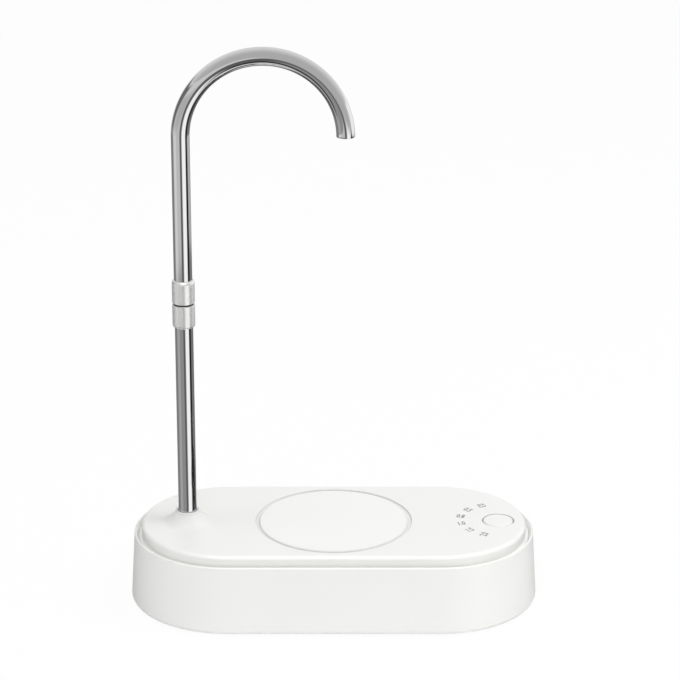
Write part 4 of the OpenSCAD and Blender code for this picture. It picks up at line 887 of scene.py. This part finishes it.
def collar_half(name, seam, end, node):
    """A sleeve from the seam to its end: the shoulder's radius falls with a cosine as it rises with
    a sine, a quarter of an ellipse."""
    up = math.copysign(1, end - seam)
    turn = np.radians(np.linspace(0, 90, 14))
    lip = TUBE_R + SHOULDER_LIP
    slope = lip + (COLLAR_R - lip) * np.cos(turn)
    shoulder = np.column_stack([slope, end - up * SHOULDER * (1 - np.sin(turn))])
    sleeve_bore = TUBE_R + PLAY
    bevel = [
        [COLLAR_R - SEAM_BEVEL, seam],
        [COLLAR_R - BEVEL_IN, seam + up * BEVEL_UP],
        [COLLAR_R, seam + up * SEAM_BEVEL],
    ]
    profile = np.vstack([[[sleeve_bore, seam]], bevel, shoulder, [[sleeve_bore, end]]])
    made = solid(name, surface(revolve(profile, (SPOUT_X, 0, 0), 128), ring=True))
    return dress(made, "spout", "satin_collar", satin_collar, node)


upper_collar_low, upper_collar_high, _ = extent("collar_upper")
collar_half("collar_lower_sleeve", collar_high[2], collar_low[2], "collar_lower")
collar_half("collar_upper_sleeve", upper_collar_low[2], upper_collar_high[2], "collar_upper")

# %% [markdown]
# ## Volume marks
# Six grey numbers stand on an arc round the button, one beside each light. They are printed, so they
# are thin flat shapes on the lid. Blender's own font gives the outlines, which are turned into a
# mesh before they are put in place, and each one reads towards the button.

# %% Printed numbers
NUMBERS = ["0.3", "0.5", "0.8", "1.0", "1.5", "2.0"]
MARK_RING = 21.3 * MM
MARK_SHIFT = 0.5 * MM
MARK_H = 4.2 * MM
NARROW = 0.64
INK_T = 0.02 * MM
STROKE_SPREAD = 0.1 * MM
# A digit of Blender's font is as high as the font's size over this.
FONT_SIZE = 1.4


def number(text, angle):
    """A flat number on the lid: centred, narrowed, turned by its angle less a half turn, and moved to
    the ring."""
    curve = bpy.data.curves.new("mark", "FONT")
    curve.body = text
    curve.size = MARK_H * FONT_SIZE
    curve.extrude = INK_T / 2
    curve.offset = STROKE_SPREAD
    curve.align_x = "CENTER"
    curve.align_y = "CENTER"
    written = bpy.data.objects.new("mark", curve)
    bpy.context.scene.collection.objects.link(written)
    graph = bpy.context.evaluated_depsgraph_get()
    mesh = bpy.data.meshes.new_from_object(written.evaluated_get(graph))
    bpy.data.objects.remove(written)
    points = np.empty(len(mesh.vertices) * 3, np.float32)
    mesh.vertices.foreach_get("co", points)
    points = points.reshape(-1, 3) * [NARROW, 1, 1]
    turn = angle - np.pi
    spin = np.array([[np.cos(turn), np.sin(turn), 0], [-np.sin(turn), np.cos(turn), 0], [0, 0, 1]])
    x, y = BUTTON_X + MARK_RING * np.cos(angle), MARK_SHIFT + MARK_RING * np.sin(angle)
    out = np.array([x, y, TOP_Z + INK_T / 2])
    mesh.vertices.foreach_set("co", (points @ spin + out).astype(np.float32).ravel())
    mesh.update()
    return mesh


marks = bmesh.new()
for text, angle in zip(NUMBERS, MARK_ANGLES):
    marks.from_mesh(number(text, angle))
marks_mesh = bpy.data.meshes.new("volume_marks")
marks.to_mesh(marks_mesh)
marks.free()
volume_marks = bpy.data.objects.new("volume_marks", marks_mesh)
bpy.context.scene.collection.objects.link(volume_marks)
marks_mesh.materials.append(print_ink)
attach(volume_marks, "base")
print("printed numbers:", len(NUMBERS))

# %% [markdown]
# ## Underside and back
# Four rubber feet lift the base off the table. At the back, a round pocket holds the nipple that the
# jug's hose is pushed on, and a small slot takes the charging plug. These are turned or drawn
# profiles too: the feet have a soft edge, and the nipple has the shallow barbs that grip a hose.

# %% Feet
FOOT_ROUND = 0.5 * MM
foot_profile = np.vstack([
    [[0, feet_high[2]], [FOOT_R, feet_high[2]]],
    arc(FOOT_R - FOOT_ROUND, feet_low[2] + FOOT_ROUND, FOOT_ROUND, 0, -90, 6),
    [[FOOT_R - MM, feet_low[2]], [0, feet_low[2]]],
])
# Moulded rubber: almost black, matt, with a fine dusty grain.
foot_rubber = finish("rubber_moulded_black", "26262a", 0.85, grain_mm=0.4, relief_mm=0.02, shift=0.12)
feet = solid("feet", *[surface(revolve(foot_profile, (x, y, 0), 64)) for x, y in FEET])
dress(feet, "base", "black_rubber", foot_rubber, "rubber_feet")

# %% Hose nipple
NIPPLE_R = 4 * MM
NIPPLE_BORE = 2.5 * MM
BARBS = 3
BARB_DEPTH = 0.45 * MM
BARB_STEP = 0.05 * MM
BARB_BLUNT = 0.1 * MM
BARB_CREST = 0.25 * MM
NIPPLE_TAPER = 0.8 * MM
ELBOW_R = 4.5 * MM
SIDE_BARB_R = 2.45 * MM
SIDE_BARB_BORE = 1.5 * MM
FLANGE_T = 2 * MM
# Unpainted acetal, moulded: warm white and slightly waxy.
acetal = finish("acetal_natural", "e9e6dc", 0.42, grain_mm=0.7, relief_mm=0.006, shift=0.02, IOR=1.48)

barb_pitch = (NIPPLE_END - POCKET_Y - MM) / BARBS
barb_feet = POCKET_Y + MM + barb_pitch * np.arange(BARBS)
crest = np.full(BARBS, NIPPLE_R)
barbs = np.stack([
    np.column_stack([crest - BARB_DEPTH, barb_feet]),
    np.column_stack([crest - BARB_BLUNT, barb_feet + BARB_STEP]),
    np.column_stack([crest, barb_feet + BARB_CREST]),
    np.column_stack([crest - BARB_DEPTH, barb_feet + barb_pitch - BARB_STEP]),
], axis=1).reshape(-1, 2)
fitting_profile = np.vstack([
    [[ELBOW_R, fitting_low[1]], [ELBOW_R, SEAT_Y - FLANGE_T], [FLANGE_R, SEAT_Y - FLANGE_T]],
    [[FLANGE_R, SEAT_Y], [NECK_R - PLAY, SEAT_Y], [NECK_R - PLAY, POCKET_Y]],
    [[NIPPLE_R - BARB_DEPTH, POCKET_Y]],
    barbs,
    [[NIPPLE_R - NIPPLE_TAPER, NIPPLE_END]],
])
fitting = solid("hose_fitting", surface(revolve(fitting_profile, INLET, 96, "y")))
side_y = fitting_low[1] + ELBOW_R
side_place = INLET * [0, 0, 1] + [0, side_y, 0]
side_barb = [[SIDE_BARB_R, INLET[0]], [SIDE_BARB_R, fitting_high[0]]]
carve(fitting, "UNION", [solid("side_barb", surface(revolve(side_barb, side_place, 48, "x")))])
bore = [[NIPPLE_BORE, side_y - SIDE_BARB_BORE], [NIPPLE_BORE, NIPPLE_END + MM]]
side_bore = [[SIDE_BARB_BORE, INLET[0]], [SIDE_BARB_BORE, fitting_high[0] + MM]]
carve(fitting, "DIFFERENCE", [
    solid("nipple_bore", surface(revolve(bore, INLET, 64, "y"))),
    solid("side_bore", surface(revolve(side_bore, side_place, 48, "x"))),
])
dress(fitting, "base", "natural_plastic", acetal, "inlet_fitting")

# %% Charging socket
# Pressed and nickel-plated steel, drawn to a thin round-ended shell.
nickel = finish("steel_nickel_plated", "c9c8c6", 0.24, metal=1.0, grain_mm=0.5, relief_mm=0.003, shift=0.03)
# Black nylon of connectors, glass-filled: dark grey and matt.
nylon = finish("nylon_glass_filled", "2b2b2e", 0.6, grain_mm=0.3, relief_mm=0.006, shift=0.08)
usb_low, usb_high, _ = extent("usb_socket")
USB_HALF = (usb_high - usb_low) / 2
SKIN = 0.3 * MM
SOCKET_BACK = usb_low[1] + 0.8 * MM
BLADE_INSET = 1.2 * MM
BLADE_HALF = 0.35 * MM
BLADE_BACK = 1.4 * MM
TIP_IN = 0.15 * MM
TIP_THIN = 0.1 * MM
TIP_L = 0.2 * MM
outer = stadium(USB_HALF[0], USB_HALF[2])
inner = stadium(USB_HALF[0] - SKIN, USB_HALF[2] - SKIN)
shell_depths = [usb_low[1], usb_high[1], usb_high[1], SOCKET_BACK]
shell_rows = slot_bar([outer, outer, inner, inner], shell_depths, USB)
charge_shell = solid("charge_socket_shell", surface(shell_rows))
dress(charge_shell, "base", "screw_steel", nickel, "usb_socket")

blade_half = USB_HALF[0] - BLADE_INSET
blade = stadium(blade_half, BLADE_HALF, 6)
tip = stadium(blade_half - TIP_IN, BLADE_HALF - TIP_THIN, 6)
blade_end = usb_high[1] - BLADE_BACK
blade_depths = [SOCKET_BACK - 0.1 * MM, blade_end - TIP_L, blade_end]
charge_blade = solid("charge_socket_blade", surface(slot_bar([blade, blade, tip], blade_depths, USB)))
dress(charge_blade, "base", "dark_plastic", nylon, "usb_socket")

# %% [markdown]
# ## Everything else
# The solids inside the case, and the few small ones that show, keep their CAD shapes. Each takes a
# finish from the material that the record gives it, so a node's slot is looked up once and the finish
# with that name goes on its object. Screws stay bright, seals are dull, the windings have a varnish.

# %% Finishes of the remaining solids
SLOT_FINISHES = {
    "screw_steel": nickel,
    "black_rubber": foot_rubber,
    "natural_plastic": acetal,
    "dark_plastic": nylon,
    "white_abs": white_abs,
    "disc_white": disc_abs,
    "polished_steel": polished_tube,
    "satin_collar": satin_collar,
    # Silicone rubber, pressed: dull brick red.
    "red_silicone": finish("silicone_red", "a8332c", 0.6, grain_mm=0.5, relief_mm=0.004, shift=0.06),
    # Silicone hose, extruded: milky, with a little light passing into it.
    "clear_silicone": finish("silicone_milky", "dfe1e1", 0.4, grain_mm=1.5, relief_mm=0.004, shift=0.03),
    # Acrylic light pins, cast: the milky white of an unlit indicator.
    "clear_acrylic": finish("acrylic_milky", "efefee", 0.34, relief_mm=0.001, shift=0.01, IOR=1.49),
    # Glass-epoxy board under solder mask: green and slightly shiny.
    "board_green": finish("epoxy_board_green", "1c6b43", 0.35, grain_mm=0.4, relief_mm=0.006, shift=0.08),
    # PVC sleeve, shrunk on: an even blue with a soft gloss.
    "cell_wrap": finish("pvc_sleeve_blue", "2f5fa8", 0.38, grain_mm=2.0, relief_mm=0.004, shift=0.05),
    # PVC lead cover, extruded: warm red.
    "lead_cover": finish("pvc_lead_red", "b33a34", 0.45, grain_mm=0.6, relief_mm=0.004, shift=0.05),
    # Ferrite, pressed and sintered: dark grey with a coarse speckle.
    "magnet_iron": finish("ferrite_sintered", "3a3a3c", 0.7, grain_mm=0.3, relief_mm=0.012, shift=0.2),
    # Bronze, pressed from powder: dull and porous.
    "bush_bronze": finish("bronze_sintered", "a9855a", 0.5, 1.0, grain_mm=0.25, relief_mm=0.01, shift=0.1),
    # Enamelled copper wire, wound and varnished.
    "armature_copper": finish("copper_varnished", "b06a3f", 0.3, 1.0, grain_mm=0.4, relief_mm=0.05),
    # Foam tape, cut: off-white and open-celled.
    "adhesive": finish("foam_tape", "dcdcd8", 0.9, grain_mm=0.5, relief_mm=0.05, shift=0.05),
}
slot_of = {part["node"]: part["material_slot"] for part in frame["record"]["subparts"]}
for name, node in frame["nodes"].items():
    node.data.materials.clear()
    node.data.materials.append(SLOT_FINISHES[slot_of[name]])
print("solids with a finish:", len(slot_of))

# %% [markdown]
# ## Lamps
# A strong soft box stands high at the right side and a weak one at the left, and a third hangs over the
# pump. A low one far in front fills the front wall, and leaves out the boss, which would turn too bright.
# None of these shows in a reflection. A fifth, high in front, gives only gloss: it draws the bright
# lines along the lid's edge and the rim. All but the one overhead are kept off the polished tubes, and
# the white mouldings out of their reflections, because the tube in the photograph mirrors only the
# studio's walls, in clean stripes down to its foot.

# %% Soft boxes
KEY_WATTS = 7.5
LEFT_WATTS = 2.4
TOP_WATTS = 7.6
FRONT_WATTS = 7.6
GLOSS_WATTS = 12


def lamp(name, place, aim, size, watts):
    """A square soft box at place, turned to face aim."""
    light = bpy.data.lights.new(name, "AREA")
    light.size = size
    light.energy = watts
    made = bpy.data.objects.new(name, light)
    made.location = place
    made.rotation_euler = (Vector(place) - Vector(aim)).to_track_quat("Z", "Y").to_euler()
    bpy.context.scene.collection.objects.link(made)
    return made


def keep_off(light, *pieces):
    """Links a lamp to everything but these pieces."""
    group = bpy.data.collections.new(light.name + "_leaves_out")
    for piece in pieces:
        group.objects.link(piece)
    for entry in group.collection_objects:
        entry.light_linking.link_state = "EXCLUDE"
    light.light_linking.receiver_collection = group


key = lamp("key_softbox", (1.0, -0.15, 1.3), (0, 0, 0), 0.8, KEY_WATTS)
left_key = lamp("left_softbox", (-1.0, -0.15, 1.3), (0, 0, 0), 0.8, LEFT_WATTS)
low_front = lamp("front_softbox", (0.1, -1.8, 0.12), (0, 0, 0.02), 0.5, FRONT_WATTS)
top = lamp("top_softbox", (0.1, -0.25, 1.5), (0, 0, 0), 1.4, TOP_WATTS)
gloss = lamp("gloss_softbox", (0, -0.9, 1.2), (0, 0, 0), 0.9, GLOSS_WATTS)
for light in (key, left_key, top, low_front):
    light.visible_glossy = False
gloss.visible_diffuse = False
keep_off(key, upper, lower)
keep_off(left_key, upper, lower)
keep_off(low_front, upper, lower, boss)
keep_off(gloss, upper, lower, boss, disc_step)
for moulding in (base, cover, boss, disc, disc_step, button):
    moulding.visible_glossy = False
print("lamps (W):", KEY_WATTS, LEFT_WATTS, TOP_WATTS, FRONT_WATTS, GLOSS_WATTS)

# %% [markdown]
# ## Sizes
# The dressed model must keep the frame's size, so both boxes are measured and their sizes printed.

# %% Measure the boxes and print their sizes
VISUAL_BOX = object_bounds()
boxes = {"cad": [list(map(float, c)) for c in CAD_BOX], "visual": [list(map(float, c)) for c in VISUAL_BOX]}
spans = [np.round((np.array(high) - low) / MM, 2).tolist() for low, high in boxes.values()]
print("frame and dressed sizes (mm):", spans)
